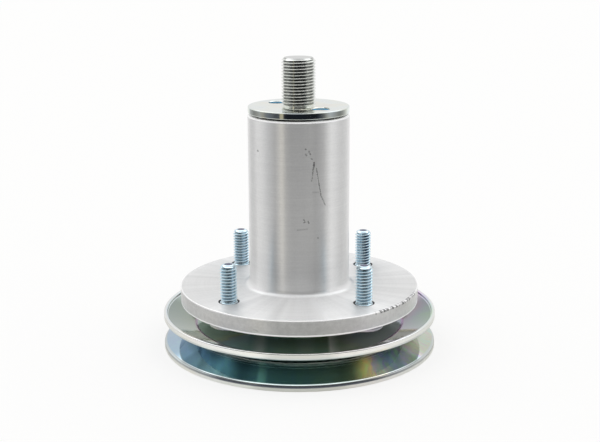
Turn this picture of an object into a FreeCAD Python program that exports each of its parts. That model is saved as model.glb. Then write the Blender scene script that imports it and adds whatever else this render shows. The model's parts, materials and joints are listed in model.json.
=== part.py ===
import FreeCAD, Part
import math
import os
import re
import Sketcher

# Mower deck spindle, standing on its drive pulley with the blade end up.
# The axis is Z. Heights run up from the surface that the lower pulley rim rests on.
# Lengths are in millimetres and angles in degrees.
SIZES = {
    # Belt pulley: two pressed sheaves back to back on a riveted hub
    "rim_radius": 65.45,
    "rim_band": 3.055,
    "sheet_thick": 2.2,
    "groove_depth": 14.9,
    "groove_slope": 21.0,
    "lip_width": 1.7,
    "rim_round": 0.5,
    "sheet_bend": 1.6,
    "hub_radius": 14.0,
    "hub_flange_thick": 2.6,
    "hub_rise": 4.4,
    "hub_bevel": 0.5,
    "rivet_gap": 0.3,
    "rivet_radius": 2.38,
    "rivet_head_radius": 3.7,
    "rivet_head_rise": 1.5,
    "rivet_head_rim": 0.4,
    "rivet_count": 6,
    # Shaft and what it carries
    "shaft_radius": 7.9375,
    "stud_length": 22.4,
    "stud_bevel": 1.35,
    "neck_length": 1.2,
    "neck_depth": 0.7375,
    "tail_radius": 5.556,
    "tail_recess": 0.3,
    "tail_bevel": 0.7,
    "hub_grip": 0.2,
    "key_width": 4.7625,
    "key_tall": 4.7625,
    "key_depth": 2.4,
    "key_length": 7.6,
    "key_top_gap": 0.15,
    "nut_flats": 17.46,
    "nut_lift": 0.475,
    "nut_bevel": 0.9,
    "pulley_spacer_length": 5.0,
    "pulley_spacer_radius": 11.5,
    "bearing_spacer_radius": 11.0,
    "spacer_slip": 0.1,
    "spacer_bevel": 0.4,
    # Blade drive disc
    "disc_inset": 0.1,
    "disc_thick": 3.0,
    "disc_clearance": 0.9,
    "disc_round": 0.4,
    "disc_boss_wall": 1.9625,
    "pin_hole_radius": 4.4,
    "pin_gap": 0.2,
    "pin_turn": 134.3,
    "pin_count": 2,
    # Housing: flange and tube in one piece
    "rim_clearance": 4.6,
    "flange_radius": 57.0,
    "flange_thick": 7.6,
    "flange_edge": 0.5,
    "tube_radius": 23.82,
    "tube_length": 81.9,
    "tube_root_round": 2.9,
    "tube_edge": 0.7,
    "boss_radius": 26.0,
    "boss_root_round": 2.0,
    "boss_edge": 1.0,
    "bore_edge": 0.6,
    "bearing_shoulder": 2.0,
    "upper_recess": 1.0,
    # Retaining ring under the lower bearing
    "ring_land": 1.5,
    "ring_slack": 0.1,
    "ring_slot_depth": 1.25,
    "ring_thick": 1.75,
    "ring_band": 3.3,
    "ring_taper": 0.7,
    "ring_gap": 9.0,
    "ring_ear_radius": 2.4,
    "ring_ear_hole": 1.25,
    # Deck bolts, pressed into the flange from below
    "bolt_edge": 13.3,
    "bolt_turn": 42.35,
    "bolt_count": 4,
    "bolt_neck_swell": 0.53125,
    "bolt_radius": 3.96875,
    "bolt_length": 25.4,
    "bolt_tip_round": 1.5,
    "bolt_neck_length": 4.8,
    "bolt_shank_cut": 0.4,
    "bolt_thread_lift": 0.4,
    "bolt_rib_depth": 0.4,
    "bolt_rib_count": 18,
    "bolt_head_radius": 9.1,
    "bolt_head_rise": 4.2,
    "bolt_head_rim": 3.5,
    "bolt_head_edge": 0.8,
    # Sealed ball bearings, one at each end of the tube
    "bearing_radius": 20.0,
    "bearing_width": 12.0,
    "bearing_edge": 0.6,
    "inner_wall": 4.1125,
    "outer_wall": 3.55,
    "ball_radius": 3.3735,
    "ball_slip": 0.03,
    "ball_count": 8,
    "cage_band": 2.1,
    "cage_side_gap": 0.5,
    "cage_slip": 0.15,
    "seal_ledge": 0.8,
    "seal_seat": 1.3,
    "seal_thick": 1.0,
    "seal_slip": 0.06,
    "seal_edge": 0.2,
}

# Heights and lengths that follow from the driving sizes
DERIVED = {
    "groove_root_radius": "rim_radius - groove_depth",
    "rim_bottom": "groove_depth * tan(groove_slope)",
    "pulley_middle": "rim_bottom + rim_band",
    "pulley_width": "2 * pulley_middle",
    "web_top": "pulley_middle + sheet_thick",
    "web_bottom": "pulley_middle - sheet_thick",
    "hub_flange_top": "web_top + hub_flange_thick",
    "hub_top": "web_top + hub_rise",
    "flange_bottom": "pulley_width + rim_clearance",
    "flange_top": "flange_bottom + flange_thick",
    "tube_top": "flange_top + tube_length",
    "lower_bearing_bottom": "hub_top + pulley_spacer_length",
    "boss_bottom": "lower_bearing_bottom - ring_slot - ring_land",
    "lower_bearing_top": "lower_bearing_bottom + bearing_width",
    "upper_bearing_top": "tube_top - upper_recess",
    "upper_bearing_bottom": "upper_bearing_top - bearing_width",
    "disc_bottom": "tube_top + disc_clearance",
    "disc_top": "disc_bottom + disc_thick",
    "stud_top": "disc_top + stud_length",
    "sheet_rise": "sheet_thick / cos(groove_slope)",
    "lip_radius": "rim_radius - lip_width",
    "lip_bottom": "sheet_rise + (groove_depth - lip_width) * tan(groove_slope)",
    "dish_radius": "groove_root_radius - (sheet_rise - sheet_thick) / tan(groove_slope)",
    "rivet_circle": "hub_radius + rivet_gap + rivet_head_radius",
    "hub_flange_radius": "rivet_circle + rivet_head_radius + rivet_gap",
    "neck_radius": "shaft_radius - neck_depth",
    "nut_thick": "web_bottom - nut_lift",
    "disc_radius": "tube_radius - disc_inset",
    "disc_boss_radius": "shaft_radius + disc_boss_wall",
    "pin_circle": "disc_boss_radius + pin_gap + pin_hole_radius",
    "cavity_radius": "bearing_radius - bearing_shoulder",
    "ring_slot": "ring_thick + ring_slack",
    "ring_slot_radius": "bearing_radius + ring_slot_depth",
    "bolt_circle": "flange_radius - bolt_edge",
    "bolt_hole_radius": "bolt_radius + bolt_neck_swell",
    "inner_land_radius": "shaft_radius + inner_wall",
    "outer_land_radius": "bearing_radius - outer_wall",
    "ball_circle": "(inner_land_radius + outer_land_radius) / 2",
    "cage_tall": "bearing_width - 2 * (seal_seat + cage_side_gap)",
    "seal_radius": "outer_land_radius + seal_ledge",
    "key_bottom": "(web_bottom + hub_top - key_length) / 2",
    "key_top": "key_bottom + key_length",
    "race_radius": "ball_radius + ball_slip",
    "ring_bottom": "lower_bearing_bottom - ring_thick",
    "bolt_dome_radius": "(bolt_head_radius ^ 2 + (bolt_head_rise - bolt_head_rim) ^ 2)"
                        " / (2 * (bolt_head_rise - bolt_head_rim))",
    "rivet_dome_radius": "(rivet_head_radius ^ 2 + (rivet_head_rise - rivet_head_rim) ^ 2)"
                         " / (2 * (rivet_head_rise - rivet_head_rim))",
}

FULL_TURN = 360
NEAR = 1e-4

doc = FreeCAD.newDocument("DeckSpindle")
sheet = doc.addObject("Spreadsheet::Sheet", "Sizes")
for row, (alias, value) in enumerate(SIZES.items(), 1):
    sheet.set(f"A{row}", alias)
    sheet.set(f"B{row}", str(value))
    sheet.setAlias(f"B{row}", alias)
doc.recompute()

finished = []


def spelled(text):
    """Write an expression in terms of the sheet's cells."""
    def swap(match):
        word = match.group()
        if word in DERIVED:
            return f"({spelled(DERIVED[word])})"
        return f"Sizes.{word}" if word in SIZES else word
    return re.sub(r"[a-z][a-z_]+", swap, text)


def measured(text):
    """Give the present value of an expression."""
    value = sheet.evalExpression(spelled(text))
    return float(getattr(value, "Value", value))


def bind(thing, prop, text):
    """Tie a property of an object to an expression of the sizes."""
    thing.setExpression(prop, spelled(text))


def origin_part(body, role):
    """Find an origin plane or axis of a body."""
    return next(item for item in body.Origin.OriginFeatures if item.Role == role)


def new_body(label, height=None, flipped=False):
    """Start a piece whose own zero lies at a height, turned over if it is flipped."""
    body = doc.addObject("PartDesign::Body", label)
    body.Label = label
    if flipped:
        body.Placement = FreeCAD.Placement(FreeCAD.Vector(), FreeCAD.Rotation(FreeCAD.Vector(1, 0, 0), 180))
    if height:
        bind(body, "Placement.Base.z", height)
    finished.append(body)
    return body


def new_sketch(body, name, role):
    """Attach an empty sketch to an origin plane of its body."""
    sketch = body.newObject("Sketcher::SketchObject", name)
    sketch.AttachmentSupport = [(origin_part(body, role), "")]
    sketch.MapMode = "FlatFace"
    return sketch


def pin_point(sketch, name, geometry, point, place, free=""):
    """Hold a point of a sketch at two distances from the sketch's origin."""
    for kind, text in zip("XY", place):
        if kind == free:
            continue
        index = sketch.addConstraint(
            Sketcher.Constraint("Distance" + kind, -1, 1, geometry, point, measured(text)))
        sketch.renameConstraint(index, f"{name}_{kind.lower()}")
        bind(sketch, f"Constraints.{name}_{kind.lower()}", text)


def outline(body, name, role, corners):
    """Draw a closed outline.

    A corner is its two distances. A third item is the centre of an arc that leaves
    the corner anticlockwise, and a fourth says which distance that arc settles at the
    corner where it ends.
    """
    sketch = new_sketch(body, name, role)
    places = [(measured(corner[0]), measured(corner[1])) for corner in corners]
    total = len(corners)
    settled = {}
    for index, corner in enumerate(corners):
        start = FreeCAD.Vector(*places[index], 0)
        end = FreeCAD.Vector(*places[(index + 1) % total], 0)
        if len(corner) > 2:
            centre = FreeCAD.Vector(measured(corner[2][0]), measured(corner[2][1]), 0)
            circle = Part.Circle(centre, FreeCAD.Vector(0, 0, 1), (start - centre).Length)
            angles = [math.atan2(tip.y - centre.y, tip.x - centre.x) for tip in (start, end)]
            sketch.addGeometry(Part.ArcOfCircle(circle, *angles), False)
            settled[(index + 1) % total] = corner[3]
        else:
            sketch.addGeometry(Part.LineSegment(start, end), False)
    for index in range(total):
        sketch.addConstraint(Sketcher.Constraint("Coincident", index, 2, (index + 1) % total, 1))
    for index, corner in enumerate(corners):
        pin_point(sketch, f"corner_{index}", index, 1, corner[:2], settled.get(index, ""))
        if len(corner) > 2:
            pin_point(sketch, f"centre_{index}", index, 3, corner[2])
    return sketch


def round_outline(body, name, role, centre, radius):
    """Draw a circle at two distances from the sketch's origin."""
    sketch = new_sketch(body, name, role)
    place = FreeCAD.Vector(measured(centre[0]), measured(centre[1]), 0)
    sketch.addGeometry(Part.Circle(place, FreeCAD.Vector(0, 0, 1), measured(radius)), False)
    pin_point(sketch, "centre", 0, 3, centre)
    index = sketch.addConstraint(Sketcher.Constraint("Radius", 0, measured(radius)))
    sketch.renameConstraint(index, "radius")
    bind(sketch, "Constraints.radius", radius)
    return sketch


def add(body, kind, name, **settings):
    """Add a feature with its settings to a body and work it out."""
    feature = body.newObject("PartDesign::" + kind, name)
    for prop, value in settings.items():
        setattr(feature, prop, value)
    body.Tip = feature
    doc.recompute()
    return feature


def turned(body, name, corners):
    """Turn an outline of radius and height about the axis."""
    sketch = outline(body, name + "_outline", "XZ_Plane", corners)
    return add(body, "Revolution", name, Profile=sketch, ReferenceAxis=(origin_part(body, "Z_Axis"), [""]))


def drilled(body, name, radius, centre):
    """Cut a round hole right through along the axis direction."""
    sketch = round_outline(body, name + "_outline", "XY_Plane", centre, radius)
    return add(body, "Pocket", name, Profile=sketch, Type="ThroughAll", Midplane=True)


def repeated(body, name, feature, count):
    """Repeat a feature evenly about the axis."""
    pattern = body.newObject("PartDesign::PolarPattern", name)
    pattern.Originals = [feature]
    pattern.Axis = (origin_part(body, "Z_Axis"), [""])
    pattern.Angle = FULL_TURN
    bind(pattern, "Occurrences", count)
    body.Tip = pattern
    doc.recompute()
    return pattern


def circle_edges(feature, spots):
    """Name the round edges about the axis at each radius and height."""
    names = []
    for radius, height in spots:
        for index, edge in enumerate(feature.Shape.Edges, 1):
            if edge.Degenerated or not isinstance(edge.Curve, Part.Circle):
                continue
            curve = edge.Curve
            off_axis = math.hypot(curve.Center.x, curve.Center.y)
            misses = (curve.Radius - measured(radius), curve.Center.z - measured(height), off_axis)
            if max(abs(miss) for miss in misses) < NEAR:
                names.append(f"Edge{index}")
    return names


def eased(body, name, kind, size, spots):
    """Round or bevel the edges at each radius and height."""
    base = body.Tip
    feature = body.newObject("PartDesign::" + kind, name)
    feature.Base = (base, circle_edges(base, spots))
    bind(feature, "Radius" if kind == "Fillet" else "Size", size)
    body.Tip = feature
    doc.recompute()
    return feature


def bored_ring(label, height, inner, outer, tall, bevel):
    """Build a plain sleeve with bevelled outer edges."""
    body = new_body(label, height)
    turned(body, "sleeve", [
        (inner, "0"), (f"{outer} - {bevel}", "0"), (outer, bevel), (outer, f"{tall} - {bevel}"),
        (f"{outer} - {bevel}", tall), (inner, tall)])
    return body


# Housing: a flange and tube turned from one casting
def build_housing():
    body = new_body("housing")
    turned(body, "casting", [
        ("bearing_radius", "boss_bottom"),
        ("boss_radius", "boss_bottom"),
        ("boss_radius", "flange_bottom"),
        ("flange_radius", "flange_bottom"),
        ("flange_radius", "flange_top"),
        ("tube_radius", "flange_top"),
        ("tube_radius", "tube_top"),
        ("bearing_radius", "tube_top"),
        ("bearing_radius", "upper_bearing_bottom"),
        ("cavity_radius", "upper_bearing_bottom"),
        ("cavity_radius", "lower_bearing_top"),
        ("bearing_radius", "lower_bearing_top"),
        ("bearing_radius", "lower_bearing_bottom"),
        ("ring_slot_radius", "lower_bearing_bottom"),
        ("ring_slot_radius", "lower_bearing_bottom - ring_slot"),
        ("bearing_radius", "lower_bearing_bottom - ring_slot")])
    eased(body, "tube_root", "Fillet", "tube_root_round", [("tube_radius", "flange_top")])
    eased(body, "boss_root", "Fillet", "boss_root_round", [("boss_radius", "flange_bottom")])
    eased(body, "flange_edges", "Fillet", "flange_edge",
          [("flange_radius", "flange_bottom"), ("flange_radius", "flange_top")])
    eased(body, "tube_end_edge", "Chamfer", "tube_edge", [("tube_radius", "tube_top")])
    eased(body, "boss_end_edge", "Chamfer", "boss_edge", [("boss_radius", "boss_bottom")])
    eased(body, "bore_edges", "Chamfer", "bore_edge",
          [("bearing_radius", "boss_bottom"), ("bearing_radius", "tube_top")])
    hole = drilled(body, "bolt_hole", "bolt_hole_radius",
                   ("bolt_circle * cos(bolt_turn)", "bolt_circle * sin(bolt_turn)"))
    repeated(body, "bolt_holes", hole, "bolt_count")


# Internal retaining ring with its two plier ears
def build_retaining_ring():
    def round_bar(name, radius, x="0", y="0"):
        bar = doc.addObject("Part::Cylinder", name)
        bind(bar, "Radius", radius)
        bind(bar, "Height", "ring_thick")
        bind(bar, "Placement.Base.x", x)
        bind(bar, "Placement.Base.y", y)
        bind(bar, "Placement.Base.z", "ring_bottom")
        return bar

    def combined(kind, name, base, tool):
        result = doc.addObject("Part::" + kind, name)
        result.Base = base
        result.Tool = tool
        return result

    blank = round_bar("ring_blank", "ring_slot_radius")
    inside = round_bar("ring_inside", "ring_slot_radius - ring_band + ring_taper", "ring_taper")
    band = combined("Cut", "ring_band_round", blank, inside)
    opening = doc.addObject("Part::Box", "ring_opening")
    bind(opening, "Length", "ring_slot_radius")
    bind(opening, "Width", "ring_gap")
    bind(opening, "Height", "ring_thick")
    bind(opening, "Placement.Base.y", "-ring_gap / 2")
    bind(opening, "Placement.Base.z", "ring_bottom")
    ring = combined("Cut", "ring_open_band", band, opening)
    ear_radius = "ring_slot_radius - ring_band + ring_taper"
    for number, side in enumerate("-+", 1):
        across = f"{side}1 * (ring_gap / 2 + ring_ear_radius)"
        along = f"sqrt(({ear_radius}) ^ 2 - (ring_gap / 2 + ring_ear_radius) ^ 2)"
        ear = round_bar(f"ring_ear_{number}", "ring_ear_radius", along, across)
        hole = round_bar(f"ring_ear_hole_{number}", "ring_ear_hole", along, across)
        ring = combined("Fuse", f"ring_with_ear_{number}", ring, ear)
        ring = combined("Cut", f"ring_pierced_{number}", ring, hole)
    trim = round_bar("ring_trim", "ring_slot_radius")
    ring = combined("Common", "retaining_ring", ring, trim)
    ring.Label = "retaining_ring"
    finished.append(ring)


# Ribbed-neck bolt, driven up through the flange; its zero is at the flange's underside
def build_deck_bolt(number):
    body = new_body(f"deck_bolt_{number}", "flange_bottom")
    turn = f"(bolt_turn + {number - 1} * {FULL_TURN} / bolt_count)"
    bind(body, "Placement.Base.x", f"bolt_circle * cos({turn})")
    bind(body, "Placement.Base.y", f"bolt_circle * sin({turn})")
    dome_centre = ("0", "bolt_dome_radius - bolt_head_rise")
    shank = "bolt_radius - bolt_shank_cut"
    neck_top = f"bolt_neck_length + bolt_hole_radius - ({shank})"
    thread_foot = "flange_thick + bolt_thread_lift"
    turned(body, "blank", [
        ("0", "-bolt_head_rise", dome_centre, "X"),
        ("bolt_head_radius", "-bolt_head_rim"),
        ("bolt_head_radius", "0"),
        ("bolt_hole_radius", "0"),
        ("bolt_hole_radius", "bolt_neck_length"),
        (shank, neck_top),
        (shank, thread_foot),
        ("bolt_radius", f"{thread_foot} + bolt_shank_cut"),
        ("bolt_radius", "bolt_length"),
        ("0", "bolt_length")])
    eased(body, "tip", "Fillet", "bolt_tip_round", [("bolt_radius", "bolt_length")])
    eased(body, "head_edge", "Fillet", "bolt_head_edge", [("bolt_head_radius", "-bolt_head_rim")])
    valley = outline(body, "rib_valley_outline", "XY_Plane", [
        ("bolt_hole_radius - bolt_rib_depth", "0"),
        ("bolt_hole_radius + bolt_rib_depth", "-bolt_rib_depth * 2"),
        ("bolt_hole_radius + bolt_rib_depth", "bolt_rib_depth * 2")])
    cut = add(body, "Pocket", "rib_valley", Profile=valley, Reversed=True)
    bind(cut, "Length", "bolt_neck_length")
    repeated(body, "neck_ribs", cut, "bolt_rib_count")


# One pressed sheave, drawn upwards from the plane where it meets the other
def build_sheave(label, flipped):
    body = new_body(label, "pulley_middle", flipped)
    turned(body, "pressing", [
        ("hub_radius", "0"),
        ("groove_root_radius", "0"),
        ("rim_radius", "rim_bottom"),
        ("rim_radius", "pulley_width / 2"),
        ("lip_radius", "pulley_width / 2"),
        ("lip_radius", "lip_bottom"),
        ("dish_radius", "sheet_thick"),
        ("hub_radius", "sheet_thick")])
    eased(body, "bend", "Fillet", "sheet_bend", [("dish_radius", "sheet_thick")])
    eased(body, "groove_root", "Fillet", "sheet_bend", [("groove_root_radius", "0")])
    eased(body, "rim_edges", "Fillet", "rim_round", [
        ("rim_radius", "rim_bottom"), ("rim_radius", "pulley_width / 2"),
        ("lip_radius", "pulley_width / 2"), ("lip_radius", "lip_bottom")])
    hole = drilled(body, "rivet_hole", "rivet_radius", ("rivet_circle", "0"))
    repeated(body, "rivet_holes", hole, "rivet_count")


# Pulley hub with its riveting flange and keyway
def build_hub():
    body = new_body("pulley_hub")
    turned(body, "blank", [
        ("shaft_radius", "web_bottom"),
        ("hub_radius", "web_bottom"),
        ("hub_radius", "web_top"),
        ("hub_flange_radius", "web_top"),
        ("hub_flange_radius", "hub_flange_top"),
        ("hub_radius", "hub_flange_top"),
        ("hub_radius", "hub_top"),
        ("shaft_radius", "hub_top")])
    eased(body, "edges", "Chamfer", "hub_bevel",
          [("hub_flange_radius", "hub_flange_top"), ("hub_radius", "hub_top")])
    key_side = "shaft_radius - key_depth + key_tall + key_top_gap"
    slot = outline(body, "keyway_outline", "XY_Plane", [
        ("0", "-key_width / 2"), (key_side, "-key_width / 2"),
        (key_side, "key_width / 2"), ("0", "key_width / 2")])
    add(body, "Pocket", "keyway", Profile=slot, Type="ThroughAll", Midplane=True)
    hole = drilled(body, "rivet_hole", "rivet_radius", ("rivet_circle", "0"))
    repeated(body, "rivet_holes", hole, "rivet_count")


# Rivets through the hub flange and both sheaves, with a dome at each end
def build_rivets():
    body = new_body("pulley_rivets")
    body.AllowCompound = True
    head = "rivet_circle + rivet_head_radius"
    shank = "rivet_circle + rivet_radius"
    low_centre = ("rivet_circle", "web_bottom - rivet_head_rise + rivet_dome_radius")
    high_centre = ("rivet_circle", "hub_flange_top + rivet_head_rise - rivet_dome_radius")
    sketch = outline(body, "rivet_outline", "XZ_Plane", [
        ("rivet_circle", "web_bottom - rivet_head_rise", low_centre, "X"),
        (head, "web_bottom - rivet_head_rim"),
        (head, "web_bottom"),
        (shank, "web_bottom"),
        (shank, "hub_flange_top"),
        (head, "hub_flange_top"),
        (head, "hub_flange_top + rivet_head_rim", high_centre, "Y"),
        ("rivet_circle", "hub_flange_top + rivet_head_rise")])
    axis = sketch.addGeometry(Part.LineSegment(
        FreeCAD.Vector(measured("rivet_circle"), 0, 0),
        FreeCAD.Vector(measured("rivet_circle"), measured("hub_top"), 0)), True)
    pin_point(sketch, "axis_foot", axis, 1, ("rivet_circle", "0"))
    pin_point(sketch, "axis_head", axis, 2, ("rivet_circle", "hub_top"))
    rivet = add(body, "Revolution", "rivet", Profile=sketch, ReferenceAxis=(sketch, ["Axis0"]))
    repeated(body, "rivets", rivet, "rivet_count")


# Shaft: blade stud at the top, bearing journals, key seat and nut thread at the foot
def build_shaft():
    body = new_body("spindle_shaft")
    journal_foot = "web_bottom + hub_grip"
    turned(body, "bar", [
        ("0", "tail_recess"),
        ("tail_radius - tail_bevel", "tail_recess"),
        ("tail_radius", "tail_recess + tail_bevel"),
        ("tail_radius", journal_foot),
        ("shaft_radius", journal_foot),
        ("shaft_radius", "disc_top"),
        ("neck_radius", "disc_top"),
        ("neck_radius", "disc_top + neck_length"),
        ("shaft_radius", "disc_top + neck_length + shaft_radius - neck_radius"),
        ("shaft_radius", "stud_top - stud_bevel"),
        ("shaft_radius - stud_bevel", "stud_top"),
        ("0", "stud_top")])
    seat = outline(body, "key_seat_outline", "XZ_Plane", [
        ("shaft_radius - key_depth", "key_bottom"), ("shaft_radius + key_depth", "key_bottom"),
        ("shaft_radius + key_depth", "key_top"), ("shaft_radius - key_depth", "key_top")])
    cut = add(body, "Pocket", "key_seat", Profile=seat, Midplane=True)
    bind(cut, "Length", "key_width")


# Square key between shaft and hub
def build_key():
    key = doc.addObject("Part::Box", "pulley_key")
    key.Label = "pulley_key"
    bind(key, "Length", "key_tall")
    bind(key, "Width", "key_width")
    bind(key, "Height", "key_length")
    bind(key, "Placement.Base.x", "shaft_radius - key_depth")
    bind(key, "Placement.Base.y", "-key_width / 2")
    bind(key, "Placement.Base.z", "key_bottom")
    finished.append(key)


# Thin hexagon nut that fits in the dish under the pulley
def build_nut():
    body = new_body("pulley_nut", "nut_lift")
    corner = "nut_flats / sqrt(3)"
    hexagon = outline(body, "hexagon", "XY_Plane", [
        (f"{corner} * cos({turn})", f"{corner} * sin({turn})") for turn in range(0, FULL_TURN, 60)])
    block = add(body, "Pad", "block", Profile=hexagon)
    bind(block, "Length", "nut_thick")
    bore = round_outline(body, "bore_outline", "XY_Plane", ("0", "0"), "tail_radius")
    add(body, "Pocket", "bore", Profile=bore, Type="ThroughAll", Midplane=True)
    slope_reach = "nut_bevel * sqrt(3)"
    for name, level, away in (("lower_bevel", "0", "+"), ("upper_bevel", "nut_thick", "-")):
        wedge = outline(body, name + "_outline", "XZ_Plane", [
            ("nut_flats / 2", level),
            (f"nut_flats / 2 + {slope_reach}", level),
            (f"nut_flats / 2 + {slope_reach}", f"{level} {away} nut_bevel")])
        add(body, "Groove", name, Profile=wedge, ReferenceAxis=(origin_part(body, "Z_Axis"), [""]))


# Blade drive disc with its boss down to the upper bearing
def build_disc():
    body = new_body("blade_disc")
    turned(body, "blank", [
        ("shaft_radius", "upper_bearing_top"),
        ("disc_boss_radius", "upper_bearing_top"),
        ("disc_boss_radius", "disc_bottom"),
        ("disc_radius", "disc_bottom"),
        ("disc_radius", "disc_top"),
        ("shaft_radius", "disc_top")])
    eased(body, "edges", "Fillet", "disc_round",
          [("disc_radius", "disc_bottom"), ("disc_radius", "disc_top")])
    hole = drilled(body, "pin_hole", "pin_hole_radius",
                   ("pin_circle * cos(pin_turn)", "pin_circle * sin(pin_turn)"))
    repeated(body, "pin_holes", hole, "pin_count")


def build_spacers():
    bored_ring("bearing_spacer", "lower_bearing_top", "(shaft_radius + spacer_slip)",
               "bearing_spacer_radius", "(upper_bearing_bottom - lower_bearing_top)", "spacer_bevel")
    bored_ring("pulley_spacer", "hub_top", "(shaft_radius + spacer_slip)",
               "pulley_spacer_radius", "pulley_spacer_length", "spacer_bevel")


def race_groove(body):
    """Cut the track of the balls into a bearing ring."""
    sketch = round_outline(body, "track_outline", "XZ_Plane", ("ball_circle", "bearing_width / 2"),
                           "race_radius")
    add(body, "Groove", "track", Profile=sketch, ReferenceAxis=(origin_part(body, "Z_Axis"), [""]))


def build_outer_ring(name, foot):
    body = new_body(name + "_outer_ring", foot)
    turned(body, "ring", [
        ("outer_land_radius", "seal_seat"),
        ("seal_radius", "seal_seat"),
        ("seal_radius", "0"),
        ("bearing_radius - bearing_edge", "0"),
        ("bearing_radius", "bearing_edge"),
        ("bearing_radius", "bearing_width - bearing_edge"),
        ("bearing_radius - bearing_edge", "bearing_width"),
        ("seal_radius", "bearing_width"),
        ("seal_radius", "bearing_width - seal_seat"),
        ("outer_land_radius", "bearing_width - seal_seat")])
    race_groove(body)


def build_inner_ring(name, foot):
    body = new_body(name + "_inner_ring", foot)
    turned(body, "ring", [
        ("shaft_radius", "bearing_edge"),
        ("shaft_radius + bearing_edge", "0"),
        ("inner_land_radius", "0"),
        ("inner_land_radius", "bearing_width"),
        ("shaft_radius + bearing_edge", "bearing_width"),
        ("shaft_radius", "bearing_width - bearing_edge")])
    race_groove(body)


def build_balls(name, foot):
    body = new_body(name + "_balls", foot)
    body.AllowCompound = True
    ball = body.newObject("PartDesign::AdditiveSphere", "ball")
    ball.AttachmentSupport = [(origin_part(body, "XY_Plane"), "")]
    ball.MapMode = "FlatFace"
    bind(ball, "Radius", "ball_radius")
    bind(ball, "AttachmentOffset.Base.x", "ball_circle")
    bind(ball, "AttachmentOffset.Base.z", "bearing_width / 2")
    doc.recompute()
    repeated(body, "balls", ball, "ball_count")


def build_cage(name, foot):
    body = new_body(name + "_cage", foot)
    low = "(bearing_width - cage_tall) / 2"
    high = "(bearing_width + cage_tall) / 2"
    turned(body, "band", [
        ("ball_circle - cage_band / 2", low), ("ball_circle + cage_band / 2", low),
        ("ball_circle + cage_band / 2", high), ("ball_circle - cage_band / 2", high)])
    sketch = round_outline(body, "ball_window_outline", "YZ_Plane", ("0", "bearing_width / 2"),
                           "ball_radius + cage_slip")
    window = add(body, "Pocket", "ball_window", Profile=sketch, Reversed=True)
    bind(window, "Length", "ball_circle + cage_band")
    repeated(body, "ball_windows", window, "ball_count")


def build_seals(name, foot):
    for side, flipped, level in (("bottom", False, foot), ("top", True, f"({foot} + bearing_width)")):
        body = new_body(f"{name}_{side}_seal", level, flipped)
        turned(body, "seal", [
            ("inner_land_radius + seal_slip", "seal_seat - seal_thick + seal_edge"),
            ("inner_land_radius + seal_slip + seal_edge", "seal_seat - seal_thick"),
            ("seal_radius - seal_edge", "seal_seat - seal_thick"),
            ("seal_radius", "seal_seat - seal_thick + seal_edge"),
            ("seal_radius", "seal_seat"),
            ("inner_land_radius + seal_slip", "seal_seat")])


build_housing()
build_retaining_ring()
for bolt_number in range(1, SIZES["bolt_count"] + 1):
    build_deck_bolt(bolt_number)
build_sheave("upper_sheave", False)
build_sheave("lower_sheave", True)
build_hub()
build_rivets()
build_shaft()
build_key()
build_nut()
build_disc()
build_spacers()
for bearing, foot_level in (("upper_bearing", "upper_bearing_bottom"),
                            ("lower_bearing", "lower_bearing_bottom")):
    build_outer_ring(bearing, foot_level)
    build_inner_ring(bearing, foot_level)
    build_balls(bearing, foot_level)
    build_cage(bearing, foot_level)
    build_seals(bearing, foot_level)

doc.recompute()
for item in doc.Objects:
    if {"Invalid", "Error"} & set(item.State):
        raise RuntimeError(f"{item.Name} failed: {item.State}")
for piece in finished:
    if piece.Shape.isNull() or not piece.Shape.isValid():
        raise RuntimeError(f"{piece.Label} has no valid shape")

os.makedirs("parts", exist_ok=True)
for piece in finished:
    piece.Shape.exportStep(f"parts/{piece.Label}.step")
    print(f"{piece.Label}: {len(piece.Shape.Solids)} solids, {piece.Shape.Volume:.1f} mm3")
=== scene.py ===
"""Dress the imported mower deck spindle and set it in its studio.

Lengths are in millimetres while meshes are worked out, and in metres once they are Blender objects.
The axis of the spindle is Z, and the camera stands on the -Y side.
"""
import json
import logging
import math
from dataclasses import dataclass
from enum import Enum
from functools import partial, reduce
from typing import ClassVar, Sequence

import bpy
import numpy as np
from mathutils import Matrix, Vector
from mathutils.geometry import delaunay_2d_cdt


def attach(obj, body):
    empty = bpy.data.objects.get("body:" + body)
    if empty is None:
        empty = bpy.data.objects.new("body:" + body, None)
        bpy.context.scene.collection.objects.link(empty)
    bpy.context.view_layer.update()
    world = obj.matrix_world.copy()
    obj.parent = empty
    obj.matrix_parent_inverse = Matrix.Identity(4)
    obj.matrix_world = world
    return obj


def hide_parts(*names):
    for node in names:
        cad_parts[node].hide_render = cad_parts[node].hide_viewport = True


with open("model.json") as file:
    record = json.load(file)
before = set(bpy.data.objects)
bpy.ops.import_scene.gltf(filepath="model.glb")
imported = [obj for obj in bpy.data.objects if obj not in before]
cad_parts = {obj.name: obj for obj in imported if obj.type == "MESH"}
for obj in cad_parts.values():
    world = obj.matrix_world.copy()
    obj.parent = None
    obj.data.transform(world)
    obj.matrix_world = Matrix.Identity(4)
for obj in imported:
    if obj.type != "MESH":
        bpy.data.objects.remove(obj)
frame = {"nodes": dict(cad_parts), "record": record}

LOG = logging.getLogger("deck_spindle")
MM = 0.001
SNAP = 1e-7
FULL_TURN = 2.0 * math.pi
STEP_TURN = math.radians(9.0)
FEWEST_STEPS = 3
MOST_STEPS = 14
SLOPE_STEP = 0.01
Place = tuple[float, float]
Colour = tuple[float, float, float]
Socket = bpy.types.NodeSocket
Belt = tuple[tuple[float, ...], ...]
TurnTable = tuple[tuple[float, float], ...]


class Body(Enum):
    """The moving bodies that dressed pieces ride on."""

    HOUSING = "housing"
    ROTOR = "rotor"


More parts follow.
